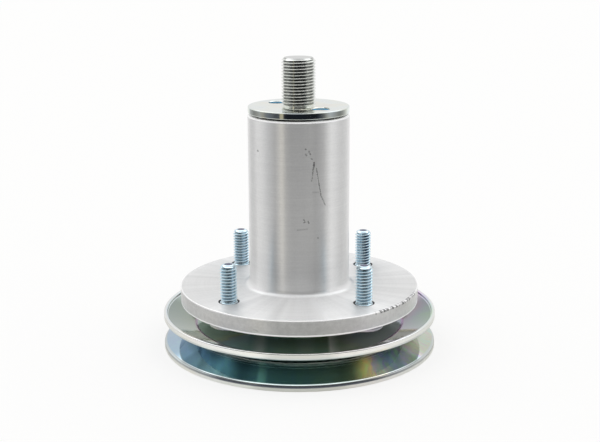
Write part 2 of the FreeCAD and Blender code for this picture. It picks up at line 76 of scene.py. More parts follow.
class Slot(Enum):
    """The material slots of the record."""

    ALUMINIUM = "turned_aluminium"
    PULLEY = "plated_pulley"
    DISC = "plated_disc"
    SHAFT = "plated_shaft"
    BOLT = "plated_bolt"
    PLAIN_STEEL = "plain_steel"
    SPRING_STEEL = "spring_steel"
    BEARING_STEEL = "bearing_steel"
    CAGE_STEEL = "cage_steel"
    RUBBER = "seal_rubber"


@dataclass(frozen=True)
class Sizes:
    """The sizes that more than one piece or finish goes by."""

    pulley_middle: float = 8.775
    flange_bottom: float = 22.15
    flange_top: float = 29.75
    upper_bearing_top: float = 110.65
    tube_top: float = 111.65
    disc_bottom: float = 112.55
    disc_top: float = 115.55
    stud_top: float = 137.95
    tube_radius: float = 23.82
    flange_radius: float = 57.0
    shaft_radius: float = 7.9375
    disc_radius: float = 23.72
    pin_radius: float = 4.15
    pin_circle: float = 14.5
    pin_turns: tuple[float, ...] = (134.3, 314.3)
    bolt_circle: float = 43.7
    bolt_turns: tuple[float, ...] = (42.35, 132.35, 222.35, 312.35)
    rim_radius: float = 65.45
    groove_root: float = 50.55
    groove_slope: float = 21.0


SIZES = Sizes()


def on_circle(circle: float, turns: Sequence[float]) -> list[Place]:
    """Give the places on a circle at some angles, in degrees."""
    return [(circle * math.cos(turn), circle * math.sin(turn)) for turn in map(math.radians, turns)]


def share_of_turn(degrees: float) -> float:
    """Give an angle as a share of the whole turn, which starts behind the part."""
    return (degrees + 180.0) / 360.0


# Meshes


@dataclass(frozen=True)
class Corner:
    """One corner of a turned outline, listed anticlockwise with the radius to the right."""

    radius: float
    height: float
    rounding: float = 0.0
    pierced: bool = False


@dataclass(frozen=True)
class Hole:
    """A round hole through the flat faces of a turned piece."""

    x: float
    y: float
    radius: float
    bevel: float = 0.15
    segments: int = 64


@dataclass(frozen=True)
class Flat:
    """A flat face of a turned piece that has holes in it."""

    outer: float
    inner: float
    height: float
    up: bool


@dataclass(frozen=True)
class Thread:
    """A rolled right-hand screw thread.

    The thread starts at `low` on a plain neck and ends at `high`, where the end of the bolt,
    bevelled or rounded over its last `bevel`, has cut it down to the root.
    """

    pitch: float
    crest: float
    depth: float
    low: float
    high: float
    neck: float
    top: float
    bevel: float
    rounded: bool
    run_in: float = 0.9
    crest_width: float = 0.16
    root_width: float = 0.20
    flank_straight: float = 0.35
    rows: int = 16

    def end_limit(self, height: np.ndarray) -> np.ndarray:
        """Give the largest radius that the bevelled or rounded end leaves at each height.

        Args:
            height: The heights.

        Returns:
            The largest radii.
        """
        above = height - (self.top - self.bevel)
        if self.rounded:
            fall = self.bevel - np.sqrt(np.clip(self.bevel**2 - np.clip(above, 0, self.bevel) ** 2, 0, None))
        else:
            fall = np.clip(above, 0, None)
        return self.crest - fall

    def cut(self) -> float:
        """Give the radius where the end has cut the thread down."""
        return float(self.end_limit(np.array([self.high]))[0])

    def radius(self, angle: np.ndarray, height: np.ndarray) -> np.ndarray:
        """Work out the surface of the thread.

        Args:
            angle: Angles about the bolt's axis.
            height: Heights, of the same shape.

        Returns:
            The radius at each place.
        """
        turns = (height - self.low) / self.pitch - angle / FULL_TURN
        away = 2.0 * np.abs(turns - np.floor(turns) - 0.5)
        share = np.clip((1.0 - self.root_width - away) / (1.0 - self.root_width - self.crest_width), 0, 1)
        curved = share * share * (3.0 - 2.0 * share)
        share = self.flank_straight * share + (1.0 - self.flank_straight) * curved
        thread = self.crest - self.depth * (1.0 - share)
        entry = np.clip((height - self.low) / self.run_in, 0, 1)
        thread = self.neck + (thread - self.neck) * entry * (2.0 - entry)
        thread = np.minimum(thread, self.end_limit(height))
        thread = np.where(height <= self.low, self.neck, thread)
        return np.where(height >= self.high, self.cut(), thread)


def headings(corners: Sequence[Corner], closed: bool) -> list[tuple[float, float]]:
    """Give the unit direction of each edge of an outline.

    Args:
        corners: The corners in order.
        closed: Whether the last corner joins the first.

    Returns:
        The directions, as (radius, height).
    """
    found = []
    for index in range(len(corners) if closed else len(corners) - 1):
        here, there = corners[index], corners[(index + 1) % len(corners)]
        span = (there.radius - here.radius, there.height - here.height)
        length = math.hypot(*span)
        found.append((span[0] / length, span[1] / length))
    return found


def arc_steps(rounding: float, turn: float) -> int:
    """Choose how many steps a rounded corner takes."""
    wanted = math.ceil(abs(turn) / STEP_TURN) + math.floor(rounding)
    return max(FEWEST_STEPS, min(MOST_STEPS, wanted))


def trace(corners: Sequence[Corner], closed: bool) -> tuple[list[list[tuple[float, ...]]], list[Flat]]:
    """Follow an outline, rounding its corners.

    Args:
        corners: The corners in order.
        closed: Whether the last corner joins the first.

    Returns:
        Smooth chains of (radius, height, normal radius, normal height), and the flats with holes.
    """
    count = len(corners)
    ways = headings(corners, closed)
    trims, turns = [0.0] * count, [0.0] * count
    for index, corner in enumerate(corners):
        if corner.rounding and (closed or 0 < index < count - 1):
            into, out = ways[index - 1], ways[index % len(ways)]
            turns[index] = math.atan2(into[0] * out[1] - into[1] * out[0],
                                      into[0] * out[0] + into[1] * out[1])
            trims[index] = corner.rounding * math.tan(abs(turns[index]) / 2)
    chains: list[list[tuple[float, ...]]] = []
    flats: list[Flat] = []
    chain: list[tuple[float, ...]] = []
    for index, (along_r, along_z) in enumerate(ways):
        after = (index + 1) % count
        here, there = corners[index], corners[after]
        start = (here.radius + along_r * trims[index], here.height + along_z * trims[index])
        end = (there.radius - along_r * trims[after], there.height - along_z * trims[after])
        normal = (along_z, -along_r)
        if here.pierced:
            chains.append(chain)
            chain = []
            flats.append(Flat(max(start[0], end[0]), min(start[0], end[0]), start[1], normal[1] > 0))
        else:
            chain += [(*start, *normal), (*end, *normal)]
        if trims[after]:
            swing = turns[after]
            side = math.copysign(there.rounding, swing)
            centre = (end[0] - side * normal[0], end[1] - side * normal[1])
            steps = arc_steps(there.rounding, swing)
            for step in range(steps + 1):
                angle = swing * step / steps
                across = (normal[0] * math.cos(angle) - normal[1] * math.sin(angle),
                          normal[0] * math.sin(angle) + normal[1] * math.cos(angle))
                chain.append((centre[0] + side * across[0], centre[1] + side * across[1], *across))
        else:
            chains.append(chain)
            chain = []
    chains.append(chain)
    return [item for item in chains if len(item) > 1], flats


class Shell:
    """Gathers faces with the normals of their corners, and joins them into one closed mesh."""

    def __init__(self) -> None:
        """Start with no faces."""
        self.corners: list[np.ndarray] = []
        self.normals: list[np.ndarray] = []

    def grid(self, points: np.ndarray, normals: np.ndarray) -> None:
        """Add a grid of faces.

        Args:
            points: Places, as (rows along the outline, columns round the axis, 3).
            normals: The normal at each place.
        """
        for source, store in ((points, self.corners), (normals, self.normals)):
            quads = np.stack([source[:-1, :-1], source[:-1, 1:], source[1:, 1:], source[1:, :-1]], axis=2)
            store.append(quads.reshape(-1, 4, 3))

    def triangles(self, points: np.ndarray, normal: Sequence[float]) -> None:
        """Add flat triangles that share one normal.

        Args:
            points: Places, as (triangles, 3, 3).
            normal: Their normal.
        """
        doubled = np.concatenate([points, points[:, 2:]], axis=1)
        self.corners.append(doubled)
        self.normals.append(np.broadcast_to(np.asarray(normal, float), doubled.shape))

    def turned(self, corners: Sequence[Corner], segments: int, closed: bool = True,
               axis: Place = (0.0, 0.0), holes: Sequence[Hole] = ()) -> None:
        """Turn an outline about an upright axis.

        Args:
            corners: The outline, anticlockwise with the radius to the right.
            segments: How many faces go round.
            closed: Whether the last corner joins the first.
            axis: Where the axis stands.
            holes: Holes through the outline's pierced flats.
        """
        angles = np.linspace(0.0, FULL_TURN, segments + 1)
        angles[-1] = 0.0
        cosines, sines = np.cos(angles), np.sin(angles)
        chains, flats = trace(corners, closed)
        for chain in chains:
            radius, height, out, up = (np.asarray(part)[:, None] for part in zip(*chain))
            points = np.stack([radius * cosines + axis[0], radius * sines + axis[1],
                               height + 0.0 * cosines], axis=2)
            normals = np.stack([out * cosines, out * sines, up + 0.0 * cosines], axis=2)
            self.grid(points, normals)
        for flat in flats:
            self.pierced(flat, angles[:-1], holes)
        if flats:
            top, bottom = max(flat.height for flat in flats), min(flat.height for flat in flats)
            for hole in holes:
                wide = hole.radius + hole.bevel
                self.turned([Corner(wide, top), Corner(hole.radius, top - hole.bevel),
                             Corner(hole.radius, bottom + hole.bevel), Corner(wide, bottom)],
                            hole.segments, closed=False, axis=(hole.x, hole.y))

    def pierced(self, flat: Flat, angles: np.ndarray, holes: Sequence[Hole]) -> None:
        """Fill a flat face between its rims and its holes.

        Args:
            flat: The face.
            angles: The angles of the rims' points.
            holes: The holes through it.
        """
        loops = [np.stack([rim * np.cos(angles), rim * np.sin(angles)], axis=1)
                 for rim in (flat.outer, flat.inner)]
        for hole in holes:
            around = np.linspace(0.0, FULL_TURN, hole.segments + 1)[:-1]
            wide = hole.radius + hole.bevel
            loops.append(np.stack([wide * np.cos(around) + hole.x, wide * np.sin(around) + hole.y], axis=1))
        places = np.concatenate(loops)
        owner = np.concatenate([np.full(len(loop), number) for number, loop in enumerate(loops)])
        edges, first = [], 0
        for loop in loops:
            edges += [(first + index, first + (index + 1) % len(loop)) for index in range(len(loop))]
            first += len(loop)
        flat_points = [Vector(place) for place in places.tolist()]
        _, _, faces, origins, _, _ = delaunay_2d_cdt(flat_points, edges, [], 0, SNAP)
        kept = []
        for face in faces:
            corner = [origins[index][0] for index in face]
            if owner[corner[0]] == owner[corner[1]] == owner[corner[2]] != 0:
                continue
            a, b, c = places[corner]
            anticlockwise = (b[0] - a[0]) * (c[1] - a[1]) - (b[1] - a[1]) * (c[0] - a[0]) > 0
            kept.append(corner if anticlockwise == flat.up else corner[::-1])
        flat_places = places[np.asarray(kept)]
        heights = np.full(flat_places.shape[:2] + (1,), flat.height)
        self.triangles(np.concatenate([flat_places, heights], axis=2), (0.0, 0.0, 1.0 if flat.up else -1.0))

    def threaded(self, thread: Thread, segments: int) -> None:
        """Add a screw thread whose rows of faces follow its helix.

        Args:
            thread: The thread.
            segments: How many faces go round.
        """
        angles = np.linspace(0.0, FULL_TURN, segments + 1)
        turns = np.linspace(0.0, 1.0, segments + 1)
        steps = math.ceil(((thread.high - thread.low) / thread.pitch + 2.0) * thread.rows)
        rows = np.arange(steps + 1)[:, None] / thread.rows - 1.0
        height = np.clip(thread.low + thread.pitch * (rows + turns), thread.low, thread.high)
        angle = np.broadcast_to(angles, height.shape)
        radius = thread.radius(angle, height)
        small = thread.pitch * SLOPE_STEP
        slope = (thread.radius(angle, height + small) - thread.radius(angle, height - small)) / (2 * small)
        inside = (height > thread.low + small) & (height < thread.high - small)
        slope = np.where(inside, slope, 0.0)
        lead = thread.pitch / FULL_TURN * slope / radius
        round_again = angle.copy()
        round_again[:, -1] = 0.0
        cosines, sines = np.cos(round_again), np.sin(round_again)
        normal = np.stack([cosines - lead * sines, sines + lead * cosines, -slope], axis=2)
        normal /= np.linalg.norm(normal, axis=2, keepdims=True)
        self.grid(np.stack([radius * cosines, radius * sines, height], axis=2), normal)

    def piece(self, name: str, shift: Place = (0.0, 0.0)) -> bpy.types.Object:
        """Join the faces at their shared corners and make the object.

        Args:
            name: The object's name.
            shift: Where the object's own origin stands, in millimetres.

        Returns:
            The new object, linked to the scene.
        """
        corners = np.concatenate(self.corners) * MM
        normals = np.concatenate(self.normals)
        keys = np.round(corners.reshape(-1, 3) / SNAP).astype(np.int64)
        _, first, inverse = np.unique(keys, axis=0, return_index=True, return_inverse=True)
        places = corners.reshape(-1, 3)[first]
        faces: list[list[int]] = []
        loops: list[list[float]] = []
        for quad, around in zip(inverse.reshape(-1, 4).tolist(), normals.tolist()):
            face: list[int] = []
            for index, vector in zip(quad, around):
                if index not in face:
                    face.append(index)
                    loops.append(vector)
            if len(face) < 3:
                del loops[len(loops) - len(face):]
            else:
                faces.append(face)
        mesh = bpy.data.meshes.new(name)
        mesh.from_pydata(places.tolist(), [], faces)
        mesh.normals_split_custom_set(loops)
        made = bpy.data.objects.new(name, mesh)
        made.location = (shift[0] * MM, shift[1] * MM, 0.0)
        bpy.context.scene.collection.objects.link(made)
        LOG.info("%s: %d faces", name, len(faces))
        return made


def fitted(piece: bpy.types.Object, body: Body, slot: Slot, finishes: "Finishes", *nodes: str) -> None:
    """Dress a piece and set it on its body.

    Args:
        piece: The object.
        body: The body that it moves with.
        slot: The record's slot for its finish.
        finishes: The finishes.
        nodes: The CAD nodes that it stands for.
    """
    piece.data.materials.clear()
    piece.data.materials.append(finishes.of(slot))
    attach(piece, body.value)
    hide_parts(*nodes)


# Materials


class Recipe:
    """Short ways to add shader nodes to one node tree."""

    NOISE_LOW: ClassVar[float] = 0.3
    NOISE_HIGH: ClassVar[float] = 0.7

    def __init__(self, tree: bpy.types.NodeTree) -> None:
        """Work on a node tree."""
        self.tree = tree

    def node(self, kind: str, **settings: object) -> bpy.types.Node:
        """Add a node with its settings.

        Args:
            kind: The node's type.
            settings: Its settings by name.

        Returns:
            The node.
        """
        made = self.tree.nodes.new(kind)
        for name, value in settings.items():
            setattr(made, name, value)
        return made

    def feed(self, target: Socket, value: object) -> None:
        """Set an input to a value, or link it to an output.

        Args:
            target: The input.
            value: The value or output.
        """
        if isinstance(value, bpy.types.NodeSocket):
            self.tree.links.new(value, target)
        else:
            target.default_value = value

    def coordinates(self, kind: str) -> Socket:
        """Give one kind of coordinates."""
        return self.node("ShaderNodeTexCoord").outputs[kind]

    def split(self, value: Socket) -> list[Socket]:
        """Split a vector into its three numbers.

        Args:
            value: The vector.

        Returns:
            The three numbers.
        """
        made = self.node("ShaderNodeSeparateXYZ")
        self.feed(made.inputs[0], value)
        return list(made.outputs)

    def sum(self, operation: str, *values: object, clamp: bool = False) -> Socket:
        """Work out one step of arithmetic.

        Args:
            operation: The operation's name.
            values: What it works on.
            clamp: Whether the result is held between 0 and 1.

        Returns:
            The result.
        """
        made = self.node("ShaderNodeMath", operation=operation, use_clamp=clamp)
        for target, value in zip(made.inputs, values):
            self.feed(target, value)
        return made.outputs[0]

    def times(self, *values: object) -> Socket:
        """Multiply numbers together."""
        return reduce(partial(self.sum, "MULTIPLY"), values)

    def plus(self, *values: object) -> Socket:
        """Add numbers together."""
        return reduce(partial(self.sum, "ADD"), values)

    def less(self, value: object, taken: object) -> Socket:
        """Take one number from another."""
        return self.sum("SUBTRACT", value, taken)

    def most(self, *values: object) -> Socket:
        """Give the largest of some numbers."""
        return reduce(partial(self.sum, "MAXIMUM"), values)

    def azimuth(self, x: Socket, y: Socket) -> Socket:
        """Give the angle about Z, which is 0 towards the camera's side and grows to the right."""
        return self.sum("ARCTAN2", x, self.times(y, -1.0))

    def from_axis(self, x: Socket, y: Socket) -> Socket:
        """Measure how far a place is from Z."""
        return self.sum("SQRT", self.plus(self.times(x, x), self.times(y, y)))

    def vector(self, x: object, y: object, z: object = 0.0) -> Socket:
        """Join three numbers into a vector.

        Args:
            x: The first number.
            y: The second.
            z: The third.

        Returns:
            The vector.
        """
        made = self.node("ShaderNodeCombineXYZ")
        for target, value in zip(made.inputs, (x, y, z)):
            self.feed(target, value)
        return made.outputs[0]

    def spread(self, value: Socket, low: float, high: float, start: float = 0.0, end: float = 1.0,
               smooth: bool = False) -> Socket:
        """Map a range of a value to another, held at both ends.

        Args:
            value: The number.
            low: Where the range starts.
            high: Where the range ends.
            start: What it gives at the start.
            end: What it gives at the end.
            smooth: Whether it eases in and out.

        Returns:
            The mapped number.
        """
        made = self.node("ShaderNodeMapRange", clamp=True,
                         interpolation_type="SMOOTHSTEP" if smooth else "LINEAR")
        for name, setting in (("From Min", low), ("From Max", high), ("To Min", start), ("To Max", end)):
            made.inputs[name].default_value = setting
        self.feed(made.inputs["Value"], value)
        return made.outputs["Result"]

    def fall(self, value: Socket, low: float, high: float, start: float = 1.0,
             smooth: bool = False) -> Socket:
        """Map a range of a value down to 0."""
        return self.spread(value, low, high, start, 0.0, smooth)

    def by_degrees(self, angle: Socket, low: float, high: float, start: float = 0.0, end: float = 1.0,
                   smooth: bool = False) -> Socket:
        """Map a range of an angle that is told in degrees."""
        return self.spread(angle, math.radians(low), math.radians(high), start, end, smooth)

    def vary(self, noise: Socket, low: float, high: float) -> Socket:
        """Map what noise mostly gives to a range."""
        return self.spread(noise, self.NOISE_LOW, self.NOISE_HIGH, low, high)

    def of_turn(self, angle: Socket) -> Socket:
        """Give an angle as a share of the whole turn."""
        return self.spread(angle, -math.pi, math.pi)

    def blend(self, share: object, first: object, second: object, mode: str = "MIX") -> Socket:
        """Mix two colours.

        Args:
            share: The share of the second, from 0 to 1.
            first: The first colour.
            second: The second colour.
            mode: How they are mixed.

        Returns:
            The mixed colour.
        """
        made = self.node("ShaderNodeMix", data_type="RGBA", blend_type=mode, clamp_factor=True)
        self.feed(made.inputs["Factor"], share)
        for target, value in ((made.inputs[6], first), (made.inputs[7], second)):
            self.feed(target, value if isinstance(value, bpy.types.NodeSocket) else (*value, 1.0))
        return made.outputs[2]

    def tint(self, share: object, colour: object, tint: object) -> Socket:
        """Multiply a colour by another where the share says."""
        return self.blend(share, colour, tint, "MULTIPLY")

    def ramp(self, value: Socket, stops: Sequence[tuple[float, Colour]]) -> Socket:
        """Look a value up in a row of colours.

        Args:
            value: The number.
            stops: Rows of (place, colour).

        Returns:
            The colour.
        """
        made = self.node("ShaderNodeValToRGB")
        band = made.color_ramp
        band.interpolation = "LINEAR"
        while len(band.elements) < len(stops):
            band.elements.new(0.5)
        for element, (place, colour) in zip(band.elements, stops):
            element.position = place
            element.color = (*colour, 1.0)
        self.feed(made.inputs["Fac"], value)
        return made.outputs["Color"]

    def table(self, share: Socket, stops: TurnTable, span: float = 1.0) -> Socket:
        """Look up a number of at most `span` by a share of the turn, from rows of (degrees, number)."""
        rows = [(share_of_turn(degrees), (value / span,) * 3) for degrees, value in stops]
        return self.times(self.ramp(share, rows), span)

    def grey(self, value: Socket) -> Socket:
        """Make a grey of one number."""
        return self.vector(value, value, value)

    def noise(self, place: object, scale: float, detail: float = 2.0, rough: float = 0.5,
              fourth: object = None, warp: float = 0.0) -> Socket:
        """Sample cloudy noise, in four dimensions where a fourth is given.

        Args:
            place: Where it is sampled.
            scale: How fine it is.
            detail: How much finer structure it has.
            rough: How strong the finer structure is.
            fourth: The fourth coordinate.
            warp: How much it is distorted.

        Returns:
            The noise, mostly from 0.3 to 0.7.
        """
        made = self.node("ShaderNodeTexNoise", noise_dimensions="3D" if fourth is None else "4D")
        self.feed(made.inputs["Vector"], place)
        if fourth is not None:
            self.feed(made.inputs["W"], fourth)
        settings = (("Scale", scale), ("Detail", detail), ("Roughness", rough), ("Distortion", warp))
        for name, setting in settings:
            made.inputs[name].default_value = setting
        return made.outputs["Fac"]

    def vectors(self, operation: str, first: object, second: object, output: int | str = 0) -> Socket:
        """Work out one step with two vectors.

        Args:
            operation: The operation's name.
            first: The first vector.
            second: The second vector.
            output: Which output is wanted.

        Returns:
            The result.
        """
        made = self.node("ShaderNodeVectorMath", operation=operation)
        self.feed(made.inputs[0], first)
        self.feed(made.inputs[1], second)
        return made.outputs[output]

    def scaled(self, vector: object, size: object) -> Socket:
        """Make a vector longer or shorter.

        Args:
            vector: The vector.
            size: How many times as long it becomes.

        Returns:
            The new vector.
        """
        made = self.node("ShaderNodeVectorMath", operation="SCALE")
        self.feed(made.inputs[0], vector)
        self.feed(made.inputs["Scale"], size)
        return made.outputs[0]

    def to_segment(self, place: Socket, start: Vector, end: Vector) -> Socket:
        """Measure how far a place is from a straight line between two points.

        Args:
            place: The place.
            start: The line's start.
            end: The line's end, which may be its start.

        Returns:
            The distance.
        """
        span = end - start
        if span.length == 0.0:
            return self.vectors("DISTANCE", place, start, "Value")
        offset = self.vectors("SUBTRACT", place, start)
        along = self.vectors("DOT_PRODUCT", offset, span / span.length_squared, "Value")
        nearest = self.scaled(span, self.sum("ADD", along, 0.0, clamp=True))
        return self.vectors("DISTANCE", offset, nearest, "Value")

    def bump(self, height: Socket, depth: float, strength: float,
             under: Socket | None = None) -> Socket:
        """Raise the surface a little by a height.

        Args:
            height: The height.
            depth: How deep a height of 1 is, in metres.
            strength: How much of it shows.
            under: The normal of a bump below it.

        Returns:
            The new normal.
        """
        made = self.node("ShaderNodeBump")
        made.inputs["Distance"].default_value = depth
        made.inputs["Strength"].default_value = strength
        self.feed(made.inputs["Height"], height)
        if under is not None:
            self.feed(made.inputs["Normal"], under)
        return made.outputs["Normal"]


@dataclass(frozen=True)
class Lathe:
    """The coordinates that a turned piece's finish is laid out in."""

    radius: Socket
    height: Socket
    angle: Socket
    around: Socket
    share: Socket
    cosine: Socket
    sine: Socket
    place: Socket


class Metal:
    """A metal material that is built up step by step."""

    BRUSH_TURN: ClassVar[float] = 0.25

    def __init__(self, name: str, colour: Colour, roughness: float) -> None:
        """Start a metal with one colour.

        Args:
            name: The material's name.
            colour: Its base colour.
            roughness: How dull it is.
        """
        self.material = bpy.data.materials.new(name)
        self.material.use_nodes = True
        tree = self.material.node_tree
        tree.nodes.clear()
        self.recipe = Recipe(tree)
        self.shader = self.recipe.node("ShaderNodeBsdfPrincipled")
        output = self.recipe.node("ShaderNodeOutputMaterial")
        tree.links.new(self.shader.outputs[0], output.inputs["Surface"])
        self.set("Metallic", 1.0)
        self.set("Base Color", (*colour, 1.0))
        self.set("Roughness", roughness)

    def set(self, name: str, value: object) -> None:
        """Set or link one input of the shader."""
        self.recipe.feed(self.shader.inputs[name], value)

    def brushed_round(self, amount: float) -> None:
        """Stretch reflections across the marks of turning.

        Args:
            amount: How far they are stretched, from 0 to 1.
        """
        self.set("Anisotropic", amount)
        self.set("Anisotropic Rotation", self.BRUSH_TURN)
        tangent = self.recipe.node("ShaderNodeTangent", direction_type="RADIAL", axis="Z")
        self.set("Tangent", tangent.outputs[0])

    def lathe(self) -> Lathe:
        """Give the turning coordinates, in millimetres and radians.

        Returns:
            The coordinates.
        """
        recipe = self.recipe
        place = recipe.scaled(recipe.coordinates("Object"), 1.0 / MM)
        x, y, z = recipe.split(place)
        radius, angle = recipe.from_axis(x, y), recipe.azimuth(x, y)
        safe = recipe.most(radius, 0.001)
        return Lathe(radius, z, angle, recipe.sum("ABSOLUTE", angle), recipe.of_turn(angle),
                     recipe.sum("DIVIDE", x, safe), recipe.sum("DIVIDE", y, safe), place)

    def from_axes(self, lathe: Lathe, circle: float, turns: Sequence[float]) -> Socket:
        """Measure how far a place is from the nearest of some upright axes that stand on a circle.

        Args:
            lathe: The turning coordinates.
            circle: The circle's radius.
            turns: Where the axes stand on it, in degrees.

        Returns:
            The distance.
        """
        recipe = self.recipe
        flat = recipe.vector(*recipe.split(lathe.place)[:2])
        axes = [Vector((x, y, 0.0)) for x, y in on_circle(circle, turns)]
        return reduce(partial(recipe.sum, "MINIMUM"), [recipe.to_segment(flat, axis, axis) for axis in axes])

    def rings(self, lathe: Lathe, width: float, round_rate: float, detail: float = 2.0) -> Socket:
        """Give the fine lines that a turning tool leaves.

        Args:
            lathe: The turning coordinates.
            width: The usual width of a line.
            round_rate: How fast the lines change round the axis.
            detail: How much finer structure they have.

        Returns:
            The height of the lines.
        """
        recipe = self.recipe
        place = recipe.vector(recipe.sum("DIVIDE", lathe.radius, width),
                              recipe.sum("DIVIDE", lathe.height, width),
                              recipe.times(lathe.cosine, round_rate))
        return recipe.noise(place, 1.0, detail, 0.6, recipe.times(lathe.sine, round_rate))


@dataclass(frozen=True)
class Scratch:
    """A mark on the tube, from one place to another, as (angle in degrees, height)."""

    start: tuple[float, float]
    end: tuple[float, float]
    width: float
    strength: float = 1.0


@dataclass(frozen=True)
class TurnedAluminium:
    """Bare turned aluminium with fine rings and a few handling marks."""

    size: Sizes = SIZES
    colour: Colour = (0.80, 0.80, 0.795)
    ring_dark: Colour = (0.62, 0.62, 0.62)
    ring_light: Colour = (0.98, 0.98, 0.975)
    veil: Colour = (1.0, 1.0, 0.995)
    veil_share: float = 0.22
    painted_edge_highlight: Colour = (1.0, 1.0, 1.0)
    painted_hole_shading: Colour = (0.03, 0.03, 0.035)
    hole_wall: float = 4.85
    shade_near: Colour = (0.17, 0.20, 0.185)
    shade_far: Colour = (0.62, 0.63, 0.60)
    shade_span: tuple[float, float] = (47.0, 52.0)
    mark_dark: Colour = (0.035, 0.036, 0.04)
    mark_share: float = 0.88
    nick_span: tuple[float, float] = (35.0, 76.0)
    roughness: float = 0.36
    across: float = 0.80
    bare: float = 0.72
    film: float = 0.24
    tone_span: float = 2.0
    # Painted reflection on the flange's face: lighter towards the front, darker at the sides.
    FACE_REFLECTION: ClassVar[TurnTable] = (
        (-180, 0.95), (-120, 0.88), (-60, 0.88), (-42, 0.93), (-24, 1.0), (-17, 1.12), (-12, 1.03),
        (-8, 1.12), (-3, 1.16), (4, 1.15), (9, 1.12), (13, 1.17), (17, 1.15), (21, 1.05), (36, 0.97),
        (60, 0.88), (120, 0.88), (180, 0.95))
    # Painted reflections on the tube's side by angle round the axis; the second table adds more at its foot.
    TUBE_REFLECTION: ClassVar[TurnTable] = (
        (-180, 1.0), (-100, 1.0), (-80, 0.88), (-62, 1.0), (-54, 1.12), (-46, 1.05), (-39, 1.0),
        (-32, 0.92), (-27, 0.85), (-23, 0.97), (-19, 1.08), (-14, 1.0), (-8, 0.97), (0, 1.0), (8, 0.98),
        (13, 0.92), (18, 0.83), (28, 0.87), (33, 0.95), (38, 1.05), (45, 1.03), (60, 0.95), (68, 0.86),
        (80, 0.86), (100, 1.0), (180, 1.0))
    FOOT_REFLECTION: ClassVar[TurnTable] = (
        (-180, 1.0), (-60, 1.0), (-45, 1.08), (-39, 1.12), (-33, 1.08), (-28, 0.95), (-19, 1.0),
        (-12, 0.92), (-4, 0.87), (10, 0.87), (20, 0.95), (27, 1.08), (36, 1.12), (40, 1.12), (45, 1.06),
        (55, 1.0), (180, 1.0))
    SCRATCHES: ClassVar[tuple[Scratch, ...]] = (
        Scratch((16.7, 93.0), (15.2, 88.6), 0.42, 0.8),
        Scratch((16.7, 93.0), (16.5, 91.6), 0.60, 1.0),
        Scratch((15.2, 88.6), (14.1, 84.7), 0.30, 0.8),
        Scratch((19.4, 90.4), (24.9, 77.4), 0.30, 0.9),
        Scratch((24.9, 77.4), (30.0, 73.0), 0.50, 0.6),
        Scratch((10.9, 98.4), (12.6, 96.9), 0.45, 0.7),
        Scratch((7.6, 97.0), (8.1, 96.6), 0.60, 0.7),
        Scratch((7.2, 99.4), (7.6, 99.2), 0.50, 0.8),
        Scratch((13.4, 94.9), (14.6, 94.7), 0.42, 0.7),
        Scratch((-51.8, 97.1), (-51.3, 97.0), 0.65, 0.8),
        Scratch((5.0, 66.8), (6.9, 65.6), 0.42, 0.8),
        Scratch((5.0, 65.4), (6.4, 65.6), 0.36, 0.8),
        Scratch((10.0, 65.9), (10.5, 65.0), 0.42, 0.7),
        Scratch((-2.0, 61.9), (9.0, 62.3), 0.50, 0.25),
        Scratch((20.9, 57.8), (21.4, 57.6), 0.45, 0.6),
        Scratch((15.6, 79.4), (21.5, 79.2), 0.55, 0.22),
        Scratch((-20.2, 24.7), (-18.9, 24.0), 0.40, 0.25))

    def scratches(self, metal: Metal, lathe: Lathe) -> Socket:
        """Draw the marks of handling on the tube's side.

        Args:
            metal: The metal being built up.
            lathe: The turning coordinates.

        Returns:
            Where the marks are, from 0 to 1.
        """
        recipe, radius = metal.recipe, self.size.tube_radius
        wobble = recipe.vary(recipe.noise(lathe.place, 2.2), -0.22, 0.22)
        place = recipe.vector(recipe.plus(recipe.times(lathe.angle, radius), wobble), lathe.height)
        drawn = []
        for mark in self.SCRATCHES:
            start, end = (Vector((math.radians(angle) * radius, height, 0.0))
                          for angle, height in (mark.start, mark.end))
            away = recipe.to_segment(place, start, end)
            drawn.append(recipe.fall(away, mark.width * 0.35, mark.width, mark.strength, smooth=True))
        broken = recipe.spread(recipe.noise(lathe.place, 3.4), 0.34, 0.50, 0.25, 1.0)
        return recipe.times(recipe.most(*drawn), broken)

    def nicks(self, metal: Metal, lathe: Lathe) -> Socket:
        """Chip the flange's upper edge along its right-hand side.

        Args:
            metal: The metal being built up.
            lathe: The turning coordinates.

        Returns:
            Where the nicks are, from 0 to 1.
        """
        recipe, rim, top = metal.recipe, self.size.flange_radius, self.size.flange_top
        along = recipe.times(lathe.angle, rim)
        chips = recipe.noise(recipe.vector(along, recipe.times(lathe.height, 0.25)), 0.85, 2.0, 0.7)
        low, high = (math.radians(angle) * rim for angle in self.nick_span)
        return recipe.times(recipe.spread(along, low, low + 3.0, smooth=True),
                            recipe.fall(along, high - 5.0, high, smooth=True),
                            recipe.spread(lathe.height, top - 1.3, top - 0.7, smooth=True),
                            recipe.spread(lathe.radius, rim - 1.4, rim - 0.8, smooth=True),
                            recipe.spread(chips, 0.50, 0.545, smooth=True))

    def painted_tube_bands(self, recipe: Recipe, lathe: Lathe, colour: Socket) -> Socket:
        """Paint reflections on the tube's side: light and dark stripes round the axis, more so towards its
        foot.

        Args:
            recipe: Where the nodes go.
            lathe: The turning coordinates.
            colour: The colour so far.

        Returns:
            The shaded colour.
        """
        tube, top = self.size.tube_radius, self.size.flange_top
        on_tube = recipe.times(recipe.fall(lathe.radius, tube + 0.4, tube + 1.2),
                               recipe.spread(lathe.height, top + 1.0, top + 3.0))
        low = recipe.fall(lathe.height, top + 10.0, top + 45.0)
        foot = recipe.less(recipe.table(lathe.share, self.FOOT_REFLECTION, self.tone_span), 1.0)
        painted_tube_bands = recipe.times(recipe.table(lathe.share, self.TUBE_REFLECTION, self.tone_span),
                             recipe.plus(1.0, recipe.times(low, foot)))
        return recipe.tint(on_tube, colour, recipe.grey(painted_tube_bands))

